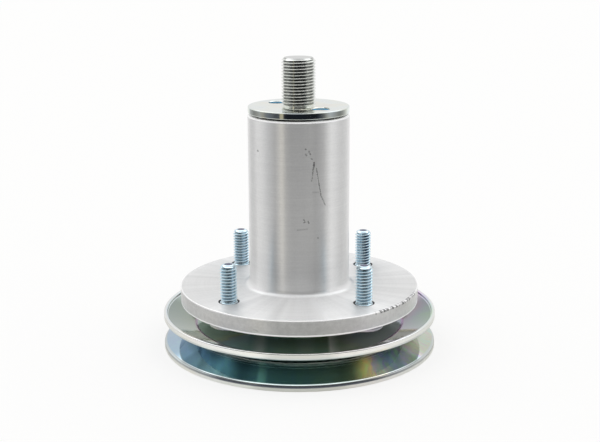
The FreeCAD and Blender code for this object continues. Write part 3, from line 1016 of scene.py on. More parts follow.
    def painted_face_sectors(self, recipe: Recipe, lathe: Lathe, on_face: Socket, colour: Socket) -> Socket:
        """Paint reflections on the flange's face: lighter and darker round the axis.

        Args:
            recipe: Where the nodes go.
            lathe: The turning coordinates.
            on_face: Where the flange's face is, from 0 to 1.
            colour: The colour so far.

        Returns:
            The shaded colour.
        """
        sweep = recipe.vector(recipe.times(lathe.cosine, 9.0), recipe.times(lathe.sine, 9.0))
        uneven = recipe.vary(recipe.noise(sweep, 1.0, 3.0, 0.6), -0.06, 0.06)
        face = recipe.plus(recipe.table(lathe.share, self.FACE_REFLECTION, self.tone_span), uneven)
        return recipe.tint(on_face, colour, recipe.grey(face))

    def material(self) -> bpy.types.Material:
        """Build the material.

        Returns:
            The material.
        """
        metal = Metal("turned_aluminium", self.colour, self.roughness)
        recipe, lathe, size = metal.recipe, metal.lathe(), self.size
        rim, top, bottom = size.flange_radius, size.flange_top, size.flange_bottom
        fine = metal.rings(lathe, 0.22, 1.2, 3.0)
        grain = recipe.noise(lathe.place, 1.1, 3.0, 0.7)
        patterns = ((fine, 0.07), (metal.rings(lathe, 2.4, 0.8), 0.04), (grain, 0.10),
                    (metal.rings(lathe, 0.75, 2.6), 0.06))
        tone = recipe.plus(*(recipe.vary(pattern, -reach, reach) for pattern, reach in patterns), 0.5)
        colour = recipe.blend(tone, self.ring_dark, self.ring_light)
        # Painted shade: the flange's side is darkened all round, in random patches.
        side = recipe.times(recipe.spread(lathe.radius, rim - 0.35, rim - 0.1),
                            recipe.fall(lathe.height, top - 0.55, top - 0.25),
                            recipe.spread(lathe.height, bottom + 0.4, bottom + 0.9), 0.9)
        side_shade_and_blotch = recipe.vary(recipe.noise(lathe.place, 0.45, 4.0, 0.65), 0.59, 0.79)
        colour = recipe.tint(side, colour, recipe.grey(side_shade_and_blotch))
        colour = recipe.blend(self.veil_share, colour, self.veil)
        colour = self.painted_tube_bands(recipe, lathe, colour)
        on_face = recipe.times(recipe.spread(lathe.height, top - 0.3, top - 0.1),
                               recipe.spread(lathe.radius, size.tube_radius + 1.2, size.tube_radius + 4.0))
        colour = self.painted_face_sectors(recipe, lathe, on_face, colour)
        # Painted highlight: white lines along the flange's upper and lower edges and round the tube's top
        # bevel.
        by_rim = recipe.spread(lathe.radius, rim - 0.55, rim - 0.45)
        foot = recipe.times(by_rim, recipe.fall(lathe.height, bottom + 0.8, bottom + 1.0))
        edge = recipe.times(by_rim, recipe.spread(lathe.height, top - 0.6, top - 0.45))
        brim = recipe.times(recipe.spread(lathe.height, size.tube_top - 0.75, size.tube_top - 0.65),
                            recipe.spread(lathe.radius, size.tube_radius - 0.8, size.tube_radius - 0.7))
        colour = recipe.blend(recipe.times(recipe.most(edge, foot, brim), 0.9), colour, self.painted_edge_highlight)
        # Painted shade: the walls of the bolt holes are made nearly black.
        by_hole = metal.from_axes(lathe, size.bolt_circle, size.bolt_turns)
        hole_shade = recipe.fall(by_hole, self.hole_wall, self.hole_wall + 0.2, 0.94)
        colour = recipe.blend(hole_shade, colour, self.painted_hole_shading)
        under = recipe.fall(lathe.height, bottom + 0.02, bottom + 0.12)
        shade = recipe.blend(recipe.spread(lathe.radius, *self.shade_span), self.shade_near, self.shade_far)
        colour = recipe.tint(under, colour, shade)
        marks = recipe.most(self.scratches(metal, lathe), self.nicks(metal, lathe))
        metal.set("Base Color", recipe.blend(recipe.times(marks, self.mark_share), colour, self.mark_dark))
        rough = recipe.plus(recipe.vary(grain, self.roughness - 0.03, self.roughness + 0.04),
                            recipe.times(on_face, 0.08))
        metal.set("Roughness", recipe.less(rough, recipe.times(edge, 0.22)))
        dull = recipe.plus(on_face, recipe.times(foot, 3.0), recipe.times(recipe.most(edge, brim), 1.2))
        metal.set("Metallic", recipe.less(self.bare, recipe.times(dull, self.film)))
        metal.brushed_round(self.across)
        metal.set("Normal", recipe.bump(fine, 0.000004, 0.5, recipe.bump(marks, -0.00012, 0.6)))
        return metal.material


# Light's path through the film, there and back, is told in nanometres.
FILM_SPAN = 2000.0
WAVES = (610.0, 540.0, 465.0)


def interference(recipe: Recipe, path: Socket, depth: object) -> Socket:
    """Work out the tint that a thin clear film gives to the metal below it.

    Args:
        recipe: Where the nodes go.
        path: The light's path through the film, in nanometres.
        depth: How much of a colour the film can take away, from 0 to 1.

    Returns:
        The tint.
    """
    swings = [recipe.sum("COSINE", recipe.times(path, FULL_TURN / wave)) for wave in WAVES]
    lost = [recipe.times(recipe.fall(swing, -1.0, 1.0), depth) for swing in swings]
    return recipe.vector(*(recipe.less(1.0, share) for share in lost))


@dataclass(frozen=True)
class SheaveZones:
    """The places on a sheave that its finish tells apart, each from 0 to 1."""

    groove: Socket
    behind: Socket
    dish: Socket
    web: Socket
    lip: Socket
    rim: Socket
    on_top: Socket


@dataclass(frozen=True)
class SheaveZinc:
    """Bright zinc of the pressed sheaves, whose film shows blue, green, gold and pink."""

    size: Sizes = SIZES
    colour: Colour = (0.84, 0.845, 0.83)
    roughness: float = 0.06
    across: float = 0.35
    film_depth: float = 0.16
    groove_tone: Colour = (0.70, 0.76, 0.78)
    groove_warm: Colour = (1.06, 0.96, 0.84)
    groove_bottom_shade: Colour = (0.45, 0.46, 0.45)
    bottom_light: Colour = (1.0, 1.0, 0.98)
    bend_highlight_colour: Colour = (0.62, 0.63, 0.60)
    bend_highlight_spans: tuple[tuple[float, float, float], ...] = ((1.2, 2.1, 1.0), (2.8, 3.4, 0.5))
    rim_colour: Colour = (0.96, 0.96, 0.93)
    painted_lip_reflection: Colour = (0.22, 0.24, 0.25)
    painted_rim_reflection: Colour = (0.16, 0.17, 0.21)
    dish_front: Colour = (0.92, 0.93, 0.90)
    painted_dish_side_shade: Colour = (0.38, 0.415, 0.37)
    painted_web_shade: Colour = (0.55, 0.72, 0.64)
    dish_under: Colour = (0.66, 0.67, 0.63)
    halo_tint: Colour = (1.0, 0.60, 0.98)
    boss_reflection_colour: Colour = (1.0, 1.0, 0.95)
    tone_span: float = 2.0
    GROOVE: ClassVar[TurnTable] = (
        (-180, 940), (-140, 1080), (-110, 930), (-83, 930), (-62, 950), (-48, 975), (-32, 990), (-17, 1000),
        (0, 1015), (16, 1045), (25, 1095), (31, 1165), (38, 1175), (40, 1420), (49, 1485), (56, 1540),
        (61, 1330), (66, 1190), (80, 1150), (110, 1100), (150, 1000), (180, 940))
    # Painted reflection in the groove: lighter and darker by angle round the axis.
    GROOVE_REFLECTION: ClassVar[TurnTable] = (
        (-180, 0.9), (-90, 0.78), (-58, 0.95), (-55, 0.68), (-45, 0.70), (-41, 1.0), (-37, 1.05),
        (-33, 0.66), (-26, 0.7), (-20, 1.15), (-10, 1.1), (16, 1.05), (22, 0.86), (29, 0.80), (33, 1.05),
        (37, 1.1), (39, 0.85), (44, 0.85), (50, 0.65), (56, 0.65), (59, 0.9), (75, 0.82), (120, 0.9),
        (180, 0.9))
    DEPTH: ClassVar[TurnTable] = (
        (-180, 0.10), (-120, 0.15), (-20, 0.19), (0, 0.16), (12, 0.08), (28, 0.05), (33, 0.15), (37, 0.15),
        (39, 0.08), (60, 0.07), (120, 0.10), (180, 0.10))
    # Painted reflection of the boss on the web, by place across the part.
    WEB_BOSS_REFLECTION: ClassVar[TurnTable] = (
        (-180, 0.0), (-22, 0.0), (-19, 0.4), (-17, 0.4), (-14.5, 0.0), (-3, 0.0), (1, 0.12), (5, 0.12),
        (8, 0.0), (13.2, 0.0), (14, 0.7), (15.2, 0.6), (18, 0.1), (20, 0.0), (180, 0.0))
    TOP: ClassVar[TurnTable] = (
        (-180, 820), (-130, 560), (-75, 530), (-57, 560), (-51, 700), (-46, 880), (-30, 985), (-12, 1050),
        (14, 1060), (32, 1230), (48, 1310), (64, 1330), (80, 1400), (120, 1100), (180, 820))

    def zones(self, recipe: Recipe, lathe: Lathe) -> SheaveZones:
        """Tell the places on a sheave apart.

        Args:
            recipe: Where the nodes go.
            lathe: The turning coordinates.

        Returns:
            The places.
        """
        root, rim, middle = self.size.groove_root, self.size.rim_radius, self.size.pulley_middle
        wall = recipe.times(recipe.less(lathe.radius, root), math.tan(math.radians(self.size.groove_slope)))
        beyond = recipe.less(recipe.sum("ABSOLUTE", recipe.less(lathe.height, middle)), wall)
        behind = recipe.spread(beyond, 1.3, 1.9)
        return SheaveZones(
            groove=recipe.times(recipe.fall(beyond, 0.9, 1.3),
                                recipe.spread(lathe.radius, root - 2.5, root - 1.5)),
            behind=behind,
            dish=recipe.times(behind, recipe.fall(lathe.radius, rim - 2.2, rim - 1.8)),
            web=recipe.fall(lathe.radius, root - 1.2, root - 0.4),
            lip=recipe.spread(lathe.radius, rim - 1.3, rim - 0.9),
            rim=recipe.spread(lathe.radius, rim - 0.55, rim - 0.15),
            on_top=recipe.spread(lathe.height, middle, middle + 0.5))

    def streaks(self, recipe: Recipe, lathe: Lathe, round_rate: float, out_rate: float,
                warp: float) -> Socket:
        """Give noise that is drawn out from the axis."""
        place = recipe.vector(recipe.times(lathe.angle, round_rate), recipe.times(lathe.radius, out_rate))
        return recipe.noise(place, 1.0, 2.0, 0.6, warp=warp)

    def path(self, recipe: Recipe, lathe: Lathe, groove: Socket) -> Socket:
        """Work out the light's path through the film, in nanometres.

        Args:
            recipe: Where the nodes go.
            lathe: The turning coordinates.
            groove: Where the groove is, from 0 to 1.

        Returns:
            The path.
        """
        cloud = recipe.vary(recipe.noise(lathe.place, 0.09, 3.0, 0.6), -0.10, 0.10)
        ripple = recipe.vary(recipe.noise(lathe.place, 0.5, 3.0, 0.6, warp=0.8), -22.0, 22.0)
        share = recipe.of_turn(recipe.plus(lathe.angle, cloud))
        broad = recipe.vary(self.streaks(recipe, lathe, 26.0, 0.12, 0.6), -90.0, 90.0)
        narrow = recipe.spread(self.streaks(recipe, lathe, 75.0, 0.35, 0.8), 0.35, 0.65, -60.0, 60.0)
        right = recipe.by_degrees(lathe.angle, 8.0, 46.0, 0.1, 1.0, smooth=True)
        uneven = recipe.times(recipe.plus(broad, narrow), right)
        inside = recipe.plus(recipe.table(share, self.GROOVE, FILM_SPAN), uneven, ripple)
        slant = recipe.plus(recipe.times(lathe.cosine, 9.5), 3.5)
        outwards = recipe.times(recipe.most(recipe.less(lathe.radius, self.size.groove_root), 0.0), slant)
        outside = recipe.plus(recipe.table(share, self.TOP, FILM_SPAN), outwards, ripple)
        return recipe.plus(recipe.times(groove, inside), recipe.times(recipe.less(1.0, groove), outside))

    def depth(self, recipe: Recipe, lathe: Lathe, zone: SheaveZones) -> Socket:
        """Work out how strongly the film colours the metal.

        Args:
            recipe: Where the nodes go.
            lathe: The turning coordinates.
            zone: The places on the sheave.

        Returns:
            The depth, from 0 to 1.
        """
        deeper = recipe.times(zone.groove, recipe.table(lathe.share, self.DEPTH))
        depth = recipe.plus(self.film_depth, deeper, recipe.times(zone.behind, 0.10))
        return recipe.times(depth, recipe.less(1.0, recipe.times(zone.lip, 0.85)))

    def bend_highlight_lines(self, metal: Metal, lathe: Lathe, groove: Socket) -> Socket:
        """Find the painted highlight lines of the bends low in the groove.

        Args:
            metal: The metal being built up.
            lathe: The turning coordinates.
            groove: Where the groove is, from 0 to 1.

        Returns:
            Where the lines are, from 0 to 1.
        """
        recipe, root, ease = metal.recipe, self.size.groove_root, 0.25
        lines = [recipe.times(recipe.spread(lathe.radius, root + low, root + low + ease),
                              recipe.fall(lathe.radius, root + high - ease, root + high), strength)
                 for low, high, strength in self.bend_highlight_spans]
        patchy = recipe.spread(metal.rings(lathe, 2.0, 2.5, 1.0), 0.35, 0.6, 0.5, 1.0)
        return recipe.times(groove, recipe.plus(*lines), patchy)

    def in_groove(self, recipe: Recipe, lathe: Lathe, groove: Socket, lines: Socket,
                  colour: Socket) -> Socket:
        """Shade the groove: painted shade at its bottom, crossed by painted highlight lines; painted
        reflections lighter and darker round the axis; warm at the right.

        Args:
            recipe: Where the nodes go.
            lathe: The turning coordinates.
            groove: Where the groove is, from 0 to 1.
            lines: Where the painted highlight lines are, from 0 to 1.
            colour: The colour so far.

        Returns:
            The shaded colour.
        """
        root = self.size.groove_root
        # Painted shade at the groove's bottom, left out along the painted highlight lines, which then take
        # their own light colour.
        bottom = recipe.times(groove, recipe.fall(lathe.radius, root + 1.2, root + 2.6))
        colour = recipe.tint(bottom, colour, recipe.blend(lines, self.groove_bottom_shade, self.bottom_light))
        # Painted reflection round the axis, and painted shade: darker low in the groove, lighter towards the
        # rim.
        tone = recipe.times(recipe.table(lathe.share, self.GROOVE_REFLECTION, self.tone_span),
                            recipe.spread(lathe.radius, root + 2.0, root + 9.0, 0.80, 1.15))
        toned = recipe.vector(*(recipe.times(tone, part) for part in self.groove_tone))
        colour = recipe.tint(groove, colour, toned)
        warm = recipe.times(groove, recipe.by_degrees(lathe.angle, 24.0, 32.0),
                            recipe.by_degrees(lathe.angle, 36.0, 39.0, 1.0, 0.0))
        colour = recipe.tint(warm, colour, self.groove_warm)
        return recipe.blend(lines, colour, self.bend_highlight_colour)

    def at_rim(self, recipe: Recipe, lathe: Lathe, zone: SheaveZones, colour: Socket) -> Socket:
        """Shade the rims: lighter, with painted dark reflections under the upper lip and along the lower rim,
        strongest at the front.

        Args:
            recipe: Where the nodes go.
            lathe: The turning coordinates.
            zone: The places on the sheave.
            colour: The colour so far.

        Returns:
            The shaded colour.
        """
        colour = recipe.blend(recipe.times(zone.rim, 0.3), colour, self.rim_colour)
        # Painted dark reflection under the upper rim, at the front.
        edge = recipe.times(recipe.fall(lathe.height, 14.6, 15.0), zone.on_top, zone.lip,
                            recipe.by_degrees(lathe.around, 30.0, 45.0, 1.0, 0.0))
        colour = recipe.tint(edge, colour, self.painted_lip_reflection)
        # Painted dark reflection: a dark stripe along the lower sheave's rim, strongest at the front.
        rim_reflection_band = recipe.times(zone.rim, recipe.spread(lathe.height, 1.5, 1.9),
                            recipe.fall(lathe.height, 2.55, 2.85),
                            recipe.by_degrees(lathe.around, 32.0, 55.0, 1.0, 0.3))
        return recipe.tint(rim_reflection_band, colour, self.painted_rim_reflection)

    def in_dish(self, recipe: Recipe, lathe: Lathe, zone: SheaveZones, colour: Socket) -> Socket:
        """Shade the dish behind the groove: painted shade at its sides and on the web, lighter at the front,
        darker on the lower sheave, with a pink halo where the web bends up.

        Args:
            recipe: Where the nodes go.
            lathe: The turning coordinates.
            zone: The places on the sheave.
            colour: The colour so far.

        Returns:
            The shaded colour.
        """
        root = self.size.groove_root
        # Painted shade: the dish's sides and the web are darkened; the front is kept light.
        slope = recipe.blend(recipe.by_degrees(lathe.around, 34.0, 42.0), self.dish_front, self.painted_dish_side_shade)
        shade = recipe.blend(zone.on_top, self.dish_under, recipe.blend(zone.web, slope, self.painted_web_shade))
        colour = recipe.tint(zone.dish, colour, shade)
        halo = recipe.times(recipe.spread(lathe.radius, root - 1.5, root - 1.1),
                            recipe.fall(lathe.radius, root - 0.4, root + 0.5), zone.on_top,
                            recipe.by_degrees(lathe.around, 38.0, 60.0, 0.1, 0.9))
        return recipe.tint(halo, colour, self.halo_tint)

    def material(self) -> bpy.types.Material:
        """Build the material.

        Returns:
            The material.
        """
        metal = Metal("plated_pulley", self.colour, self.roughness)
        recipe, lathe = metal.recipe, metal.lathe()
        zone = self.zones(recipe, lathe)
        film = interference(recipe, self.path(recipe, lathe, zone.groove), self.depth(recipe, lathe, zone))
        lines = self.bend_highlight_lines(metal, lathe, zone.groove)
        colour = self.in_groove(recipe, lathe, zone.groove, lines, recipe.tint(1.0, film, self.colour))
        colour = self.at_rim(recipe, lathe, zone, colour)
        colour = self.in_dish(recipe, lathe, zone, colour)
        # Painted reflection: light stripes of the boss's side on the front of the web.
        on_web = recipe.times(zone.dish, zone.web)
        across = recipe.spread(recipe.times(lathe.radius, lathe.cosine), -180.0, 180.0)
        painted_boss_reflection = recipe.times(on_web, recipe.fall(lathe.sine, -0.75, -0.65), recipe.table(across, self.WEB_BOSS_REFLECTION))
        metal.set("Base Color", recipe.blend(painted_boss_reflection, colour, self.boss_reflection_colour))
        bare = recipe.plus(recipe.times(on_web, 0.55), recipe.times(painted_boss_reflection, 0.4), lines,
                           recipe.times(zone.rim, 0.1))
        metal.set("Metallic", recipe.less(1.0, bare))
        fine = metal.rings(lathe, 0.30, 1.4, 3.0)
        metal.set("Roughness", recipe.plus(recipe.vary(fine, self.roughness - 0.02, self.roughness + 0.03),
                                           recipe.times(zone.rim, 0.10)))
        metal.brushed_round(self.across)
        metal.set("Normal", recipe.bump(fine, 0.0000015, 0.35))
        return metal.material


@dataclass(frozen=True)
class DiscZinc:
    """Bright zinc of the drive disc, with painted light in its two holes: pale walls and a blue painted
    highlight.
    """

    size: Sizes = SIZES
    colour: Colour = (0.80, 0.82, 0.80)
    roughness: float = 0.085
    painted_hole_shading: Colour = (0.74, 0.76, 0.74)
    painted_hole_highlight: Colour = (0.15, 0.55, 0.88)

    def material(self) -> bpy.types.Material:
        """Build the material.

        Returns:
            The material.
        """
        metal = Metal("plated_disc", self.colour, self.roughness)
        recipe, lathe, size = metal.recipe, metal.lathe(), self.size
        path = recipe.plus(recipe.vary(recipe.noise(lathe.place, 0.11, 3.0, 0.6), 420.0, 620.0),
                           recipe.fall(lathe.radius, 6.0, size.disc_radius, 120.0))
        depth = recipe.spread(lathe.radius, size.disc_radius - 0.3, size.disc_radius - 0.1, 0.14, 0.20)
        colour = recipe.tint(1.0, interference(recipe, path, depth), self.colour)
        # Painted light in the pin holes: a blue painted highlight just below the rim, pale painted light
        # deeper down in place of shade.
        by_pin = metal.from_axes(lathe, size.pin_circle, size.pin_turns)
        holes = recipe.times(recipe.fall(by_pin, size.pin_radius + 0.01, size.pin_radius + 0.05),
                             recipe.fall(lathe.height, size.disc_top - 0.42, size.disc_top - 0.38))
        band = recipe.times(recipe.spread(lathe.height, size.disc_top - 1.05, size.disc_top - 0.95),
                            recipe.fall(lathe.height, size.disc_top - 0.50, size.disc_top - 0.40))
        in_hole = recipe.blend(band, self.painted_hole_shading, self.painted_hole_highlight)
        metal.set("Base Color", recipe.blend(holes, colour, in_hole))
        metal.set("Metallic", recipe.less(1.0, recipe.times(holes, 0.95)))
        fine = metal.rings(lathe, 0.35, 1.0)
        metal.set("Roughness", recipe.vary(fine, self.roughness - 0.015, self.roughness + 0.025))
        metal.set("Normal", recipe.bump(fine, 0.000001, 0.3))
        return metal.material


@dataclass(frozen=True)
class ThreadZinc:
    """Zinc on a threaded piece, worn bright on the crests and dark down in the roots.

    The thread runs from `low` to `high` between the `crest` and `root` radii. The piece ends at
    `top`, in a face of radius `flat`, and a head, where there is one, lies below `head_top`.
    """

    name: str
    colour: Colour
    cloud: Colour
    roots: Colour
    end: Colour
    crest: float
    root: float
    low: float
    high: float
    top: float
    flat: float
    end_depth: float
    head_top: float = -5.0
    flanks: float = 1.0
    roughness: float = 0.08
    bevel_tint: Colour = (0.96, 0.97, 0.96)
    wear: float = 0.26
    dulled: float = 0.55
    head_dulled: float = 0.3

    def material(self) -> bpy.types.Material:
        """Build the material.

        Returns:
            The material.
        """
        metal = Metal(self.name, self.colour, self.roughness)
        recipe, lathe = metal.recipe, metal.lathe()
        cloudy = recipe.spread(recipe.noise(lathe.place, 0.35, 3.0, 0.6), 0.35, 0.65)
        colour = recipe.blend(cloudy, self.colour, self.cloud)
        # Dark roots; on the bolts the darkness is strongest towards -Y of the piece and fades round the
        # sides, which is painted shade.
        down = recipe.times(
            recipe.fall(lathe.radius, self.root + 0.06, self.root + 0.55 * (self.crest - self.root)),
            recipe.spread(lathe.radius, self.root - 0.35, self.root - 0.2),
            recipe.spread(lathe.height, self.low, self.low + 0.4),
            recipe.fall(lathe.height, self.high - 0.4, self.high),
            recipe.by_degrees(lathe.around, 4.0, 42.0, 1.0, self.flanks))
        colour = recipe.blend(down, colour, self.roots)
        above = recipe.spread(lathe.height, self.top - self.end_depth, self.top - self.end_depth + 0.06)
        bevel = recipe.times(above, recipe.spread(lathe.radius, self.flat, self.flat + 0.15))
        colour = recipe.tint(bevel, colour, self.bevel_tint)
        # Painted light: the head's underside is white low down, fading to painted shade towards the flange.
        head = recipe.fall(lathe.height, self.head_top, self.head_top + 0.1)
        painted_head_light = recipe.spread(lathe.height, self.head_top - 3.0, self.head_top - 2.2, 1.0, 0.15)
        colour = recipe.blend(head, colour, recipe.grey(painted_head_light))
        # The end face takes its own colour, which on the bolts is a painted dark reflection.
        end = recipe.times(above, recipe.fall(lathe.radius, self.flat, self.flat + 0.15))
        metal.set("Base Color", recipe.blend(end, colour, self.end))
        crests = recipe.spread(lathe.radius, self.crest - 0.16, self.crest - 0.06, smooth=True)
        metal.set("Roughness", recipe.plus(self.roughness, recipe.times(crests, self.wear)))
        dull = recipe.most(recipe.times(crests, self.dulled), recipe.times(head, self.head_dulled))
        metal.set("Metallic", recipe.less(1.0, dull))
        return metal.material


@dataclass(frozen=True)
class PlainSteel:
    """Uncoated steel, turned, ground or pressed."""

    name: str
    colour: Colour
    roughness: float
    darkest: float = 0.82

    def material(self) -> bpy.types.Material:
        """Build the material.

        Returns:
            The material.
        """
        metal = Metal(self.name, self.colour, self.roughness)
        recipe, lathe = metal.recipe, metal.lathe()
        fine = metal.rings(lathe, 0.2, 1.0, 3.0)
        metal.set("Roughness", recipe.vary(fine, self.roughness - 0.05, self.roughness + 0.08))
        dark = tuple(self.darkest * part for part in self.colour)
        metal.set("Base Color", recipe.blend(recipe.noise(lathe.place, 0.6, 3.0), dark, self.colour))
        return metal.material


@dataclass(frozen=True)
class SealRubber:
    """Matt black rubber of the bearing seals."""

    colour: Colour = (0.03, 0.03, 0.035)
    dark: Colour = (0.022, 0.022, 0.026)
    light: Colour = (0.04, 0.04, 0.045)
    roughness: float = 0.62

    def material(self) -> bpy.types.Material:
        """Build the material.

        Returns:
            The material.
        """
        rubber = Metal("seal_rubber", self.colour, self.roughness)
        rubber.set("Metallic", 0.0)
        recipe, lathe = rubber.recipe, rubber.lathe()
        grain = recipe.noise(lathe.place, 6.0)
        rubber.set("Roughness", recipe.vary(grain, self.roughness - 0.08, self.roughness + 0.08))
        rubber.set("Base Color", recipe.blend(grain, self.dark, self.light))
        rubber.set("Normal", recipe.bump(grain, 0.00004, 0.4))
        return rubber.material


class Finishes:
    """Every finish of the part, made once."""

    def __init__(self) -> None:
        """Build the materials."""
        shaft = ThreadZinc(
            "plated_shaft", colour=(0.88, 0.89, 0.86), cloud=(0.78, 0.81, 0.77), roots=(0.34, 0.35, 0.335),
            end=(0.50, 0.51, 0.495), crest=7.92, root=7.06, low=116.0, high=137.0, top=SIZES.stud_top,
            flat=7.0, end_depth=1.35)
        # The bolts' dark blue end face is a painted dark reflection, and their heads take painted light.
        bolt = ThreadZinc(
            "plated_bolt", colour=(0.74, 0.88, 0.95), cloud=(0.62, 0.80, 0.90), roots=(0.025, 0.06, 0.14),
            end=(0.06, 0.07, 0.16), crest=3.95, root=3.09, low=30.2, high=46.6, top=47.55, flat=1.8,
            end_depth=0.12, head_top=22.4, flanks=0.35)
        self.by_slot: dict[Slot, bpy.types.Material] = {
            Slot.ALUMINIUM: TurnedAluminium().material(),
            Slot.PULLEY: SheaveZinc().material(),
            Slot.DISC: DiscZinc().material(),
            Slot.SHAFT: shaft.material(),
            Slot.BOLT: bolt.material(),
            Slot.PLAIN_STEEL: PlainSteel("plain_steel", (0.55, 0.55, 0.54), 0.34).material(),
            Slot.SPRING_STEEL: PlainSteel("spring_steel", (0.22, 0.22, 0.23), 0.42).material(),
            Slot.BEARING_STEEL: PlainSteel("bearing_steel", (0.72, 0.72, 0.73), 0.16).material(),
            Slot.CAGE_STEEL: PlainSteel("cage_steel", (0.60, 0.58, 0.54), 0.35).material(),
            Slot.RUBBER: SealRubber().material(),
        }

    def of(self, slot: Slot) -> bpy.types.Material:
        """Give the material of a slot."""
        return self.by_slot[slot]


# Sub-assemblies


@dataclass
class Housing:
    """The casting: round flange, tube and lower boss, turned all over."""

    finishes: Finishes
    size: Sizes = SIZES
    boss_radius: float = 26.0
    boss_bottom: float = 17.025
    boss_bevel: float = 1.0
    boss_fillet: float = 2.0
    tube_fillet: float = 2.9
    tube_bevel: float = 0.7
    flange_edge: float = 0.5
    bearing_radius: float = 20.0
    bearing_bevel: float = 0.6
    lower_bearing: tuple[float, float] = (20.375, 32.375)
    upper_bearing_bottom: float = 98.65
    cavity_radius: float = 18.0
    ring_slot_radius: float = 21.25
    ring_slot_width: float = 1.85
    hole_radius: float = 4.5
    segments: int = 360

    def build(self) -> None:
        """Make the casting."""
        size, bore, bevel = self.size, self.bearing_radius, self.bearing_bevel
        low, high = self.lower_bearing
        shell = Shell()
        holes = [Hole(x, y, self.hole_radius) for x, y in on_circle(size.bolt_circle, size.bolt_turns)]
        shell.turned([
            Corner(bore + bevel, self.boss_bottom),
            Corner(self.boss_radius - self.boss_bevel, self.boss_bottom),
            Corner(self.boss_radius, self.boss_bottom + self.boss_bevel),
            Corner(self.boss_radius, size.flange_bottom, self.boss_fillet, pierced=True),
            Corner(size.flange_radius, size.flange_bottom, self.flange_edge),
            Corner(size.flange_radius, size.flange_top, self.flange_edge, pierced=True),
            Corner(size.tube_radius, size.flange_top, self.tube_fillet),
            Corner(size.tube_radius, size.tube_top - self.tube_bevel),
            Corner(size.tube_radius - self.tube_bevel, size.tube_top),
            Corner(bore + bevel, size.tube_top),
            Corner(bore, size.tube_top - bevel),
            Corner(bore, self.upper_bearing_bottom),
            Corner(self.cavity_radius, self.upper_bearing_bottom),
            Corner(self.cavity_radius, high),
            Corner(bore, high),
            Corner(bore, low),
            Corner(self.ring_slot_radius, low),
            Corner(self.ring_slot_radius, low - self.ring_slot_width),
            Corner(bore, low - self.ring_slot_width),
            Corner(bore, self.boss_bottom + bevel),
        ], self.segments, holes=holes)
        fitted(shell.piece("turned_housing"), Body.HOUSING, Slot.ALUMINIUM, self.finishes, "housing")


@dataclass
class DeckBolts:
    """The four threaded bolts that stand up out of the flange."""

    finishes: Finishes
    size: Sizes = SIZES
    radius: float = 3.96875
    length: float = 25.4
    tip: float = 2.1
    tip_rows: int = 6
    neck_radius: float = 4.5
    neck_length: float = 4.8
    neck_step: float = 0.3
    collar_radius: float = 4.08
    collar_length: float = 7.45
    collar_edge: float = 0.2
    head_radius: float = 9.1
    head_rise: float = 4.2
    head_rim: float = 3.5
    head_edge: float = 0.8
    head_bevel: float = 0.25
    pitch: float = 1.4111
    depth: float = 0.86
    crest_play: float = 0.02
    start_play: float = 0.35
    start_length: float = 0.5
    run_out: float = 0.05
    spin: float = 40.0
    segments: int = 72

    def dome(self) -> list[Corner]:
        """Give the slightly crowned underside of the head, from the axis outwards.

        Returns:
            The corners.
        """
        crown = self.head_rise - self.head_rim
        radius = (self.head_radius**2 + crown**2) / (2.0 * crown)
        foot = self.size.flange_bottom - self.head_rise
        return [Corner(0.0, foot), Corner(self.head_radius / 2.0, foot, 0.8 * radius),
                Corner(self.head_radius, foot + crown, self.head_edge)]

    def end(self, cut: float, height: float, top: float) -> list[Corner]:
        """Give the rounded end, from where it cuts the thread to the axis.

        Args:
            cut: The radius where it starts.
            height: The height where it starts.
            top: The end's height on the axis.

        Returns:
            The corners.
        """
        side = self.radius - self.crest_play - self.tip
        swing = math.acos((cut - side) / self.tip) / self.tip_rows
        arc = [Corner(side + self.tip * math.sin(swing * row), top - self.tip * (1.0 - math.cos(swing * row)))
               for row in range(self.tip_rows - 1, -1, -1)]
        return [Corner(cut, height)] + arc + [Corner(0.0, top)]

    def build(self) -> None:
        """Make the bolts."""
        base = self.size.flange_bottom
        top = base + self.length
        start = base + self.collar_length + self.start_length
        high = top - self.tip + math.sqrt(self.tip**2 - (self.tip - self.depth - self.run_out) ** 2)
        thread = Thread(self.pitch, self.radius - self.crest_play, self.depth, start, high,
                        self.radius - self.start_play, top, self.tip, rounded=True)
        places = on_circle(self.size.bolt_circle, self.size.bolt_turns)
        for number, place in enumerate(places, 1):
            shell = Shell()
            shell.turned(self.dome() + [
                Corner(self.head_radius, base - self.head_bevel),
                Corner(self.head_radius - self.head_bevel, base),
                Corner(self.neck_radius, base),
                Corner(self.neck_radius, base + self.neck_length),
                Corner(self.collar_radius, base + self.neck_length + self.neck_step),
                Corner(self.collar_radius, base + self.collar_length, self.collar_edge),
                Corner(self.radius - self.start_play, base + self.collar_length + self.start_play),
                Corner(self.radius - self.start_play, start)], self.segments, closed=False)
            shell.threaded(thread, self.segments)
            shell.turned(self.end(thread.cut(), high, top), self.segments, closed=False)
            bolt = shell.piece(f"threaded_deck_bolt_{number}", place)
            bolt.rotation_euler.z = math.radians(self.spin * number)
            fitted(bolt, Body.HOUSING, Slot.BOLT, self.finishes, f"deck_bolt_{number}")


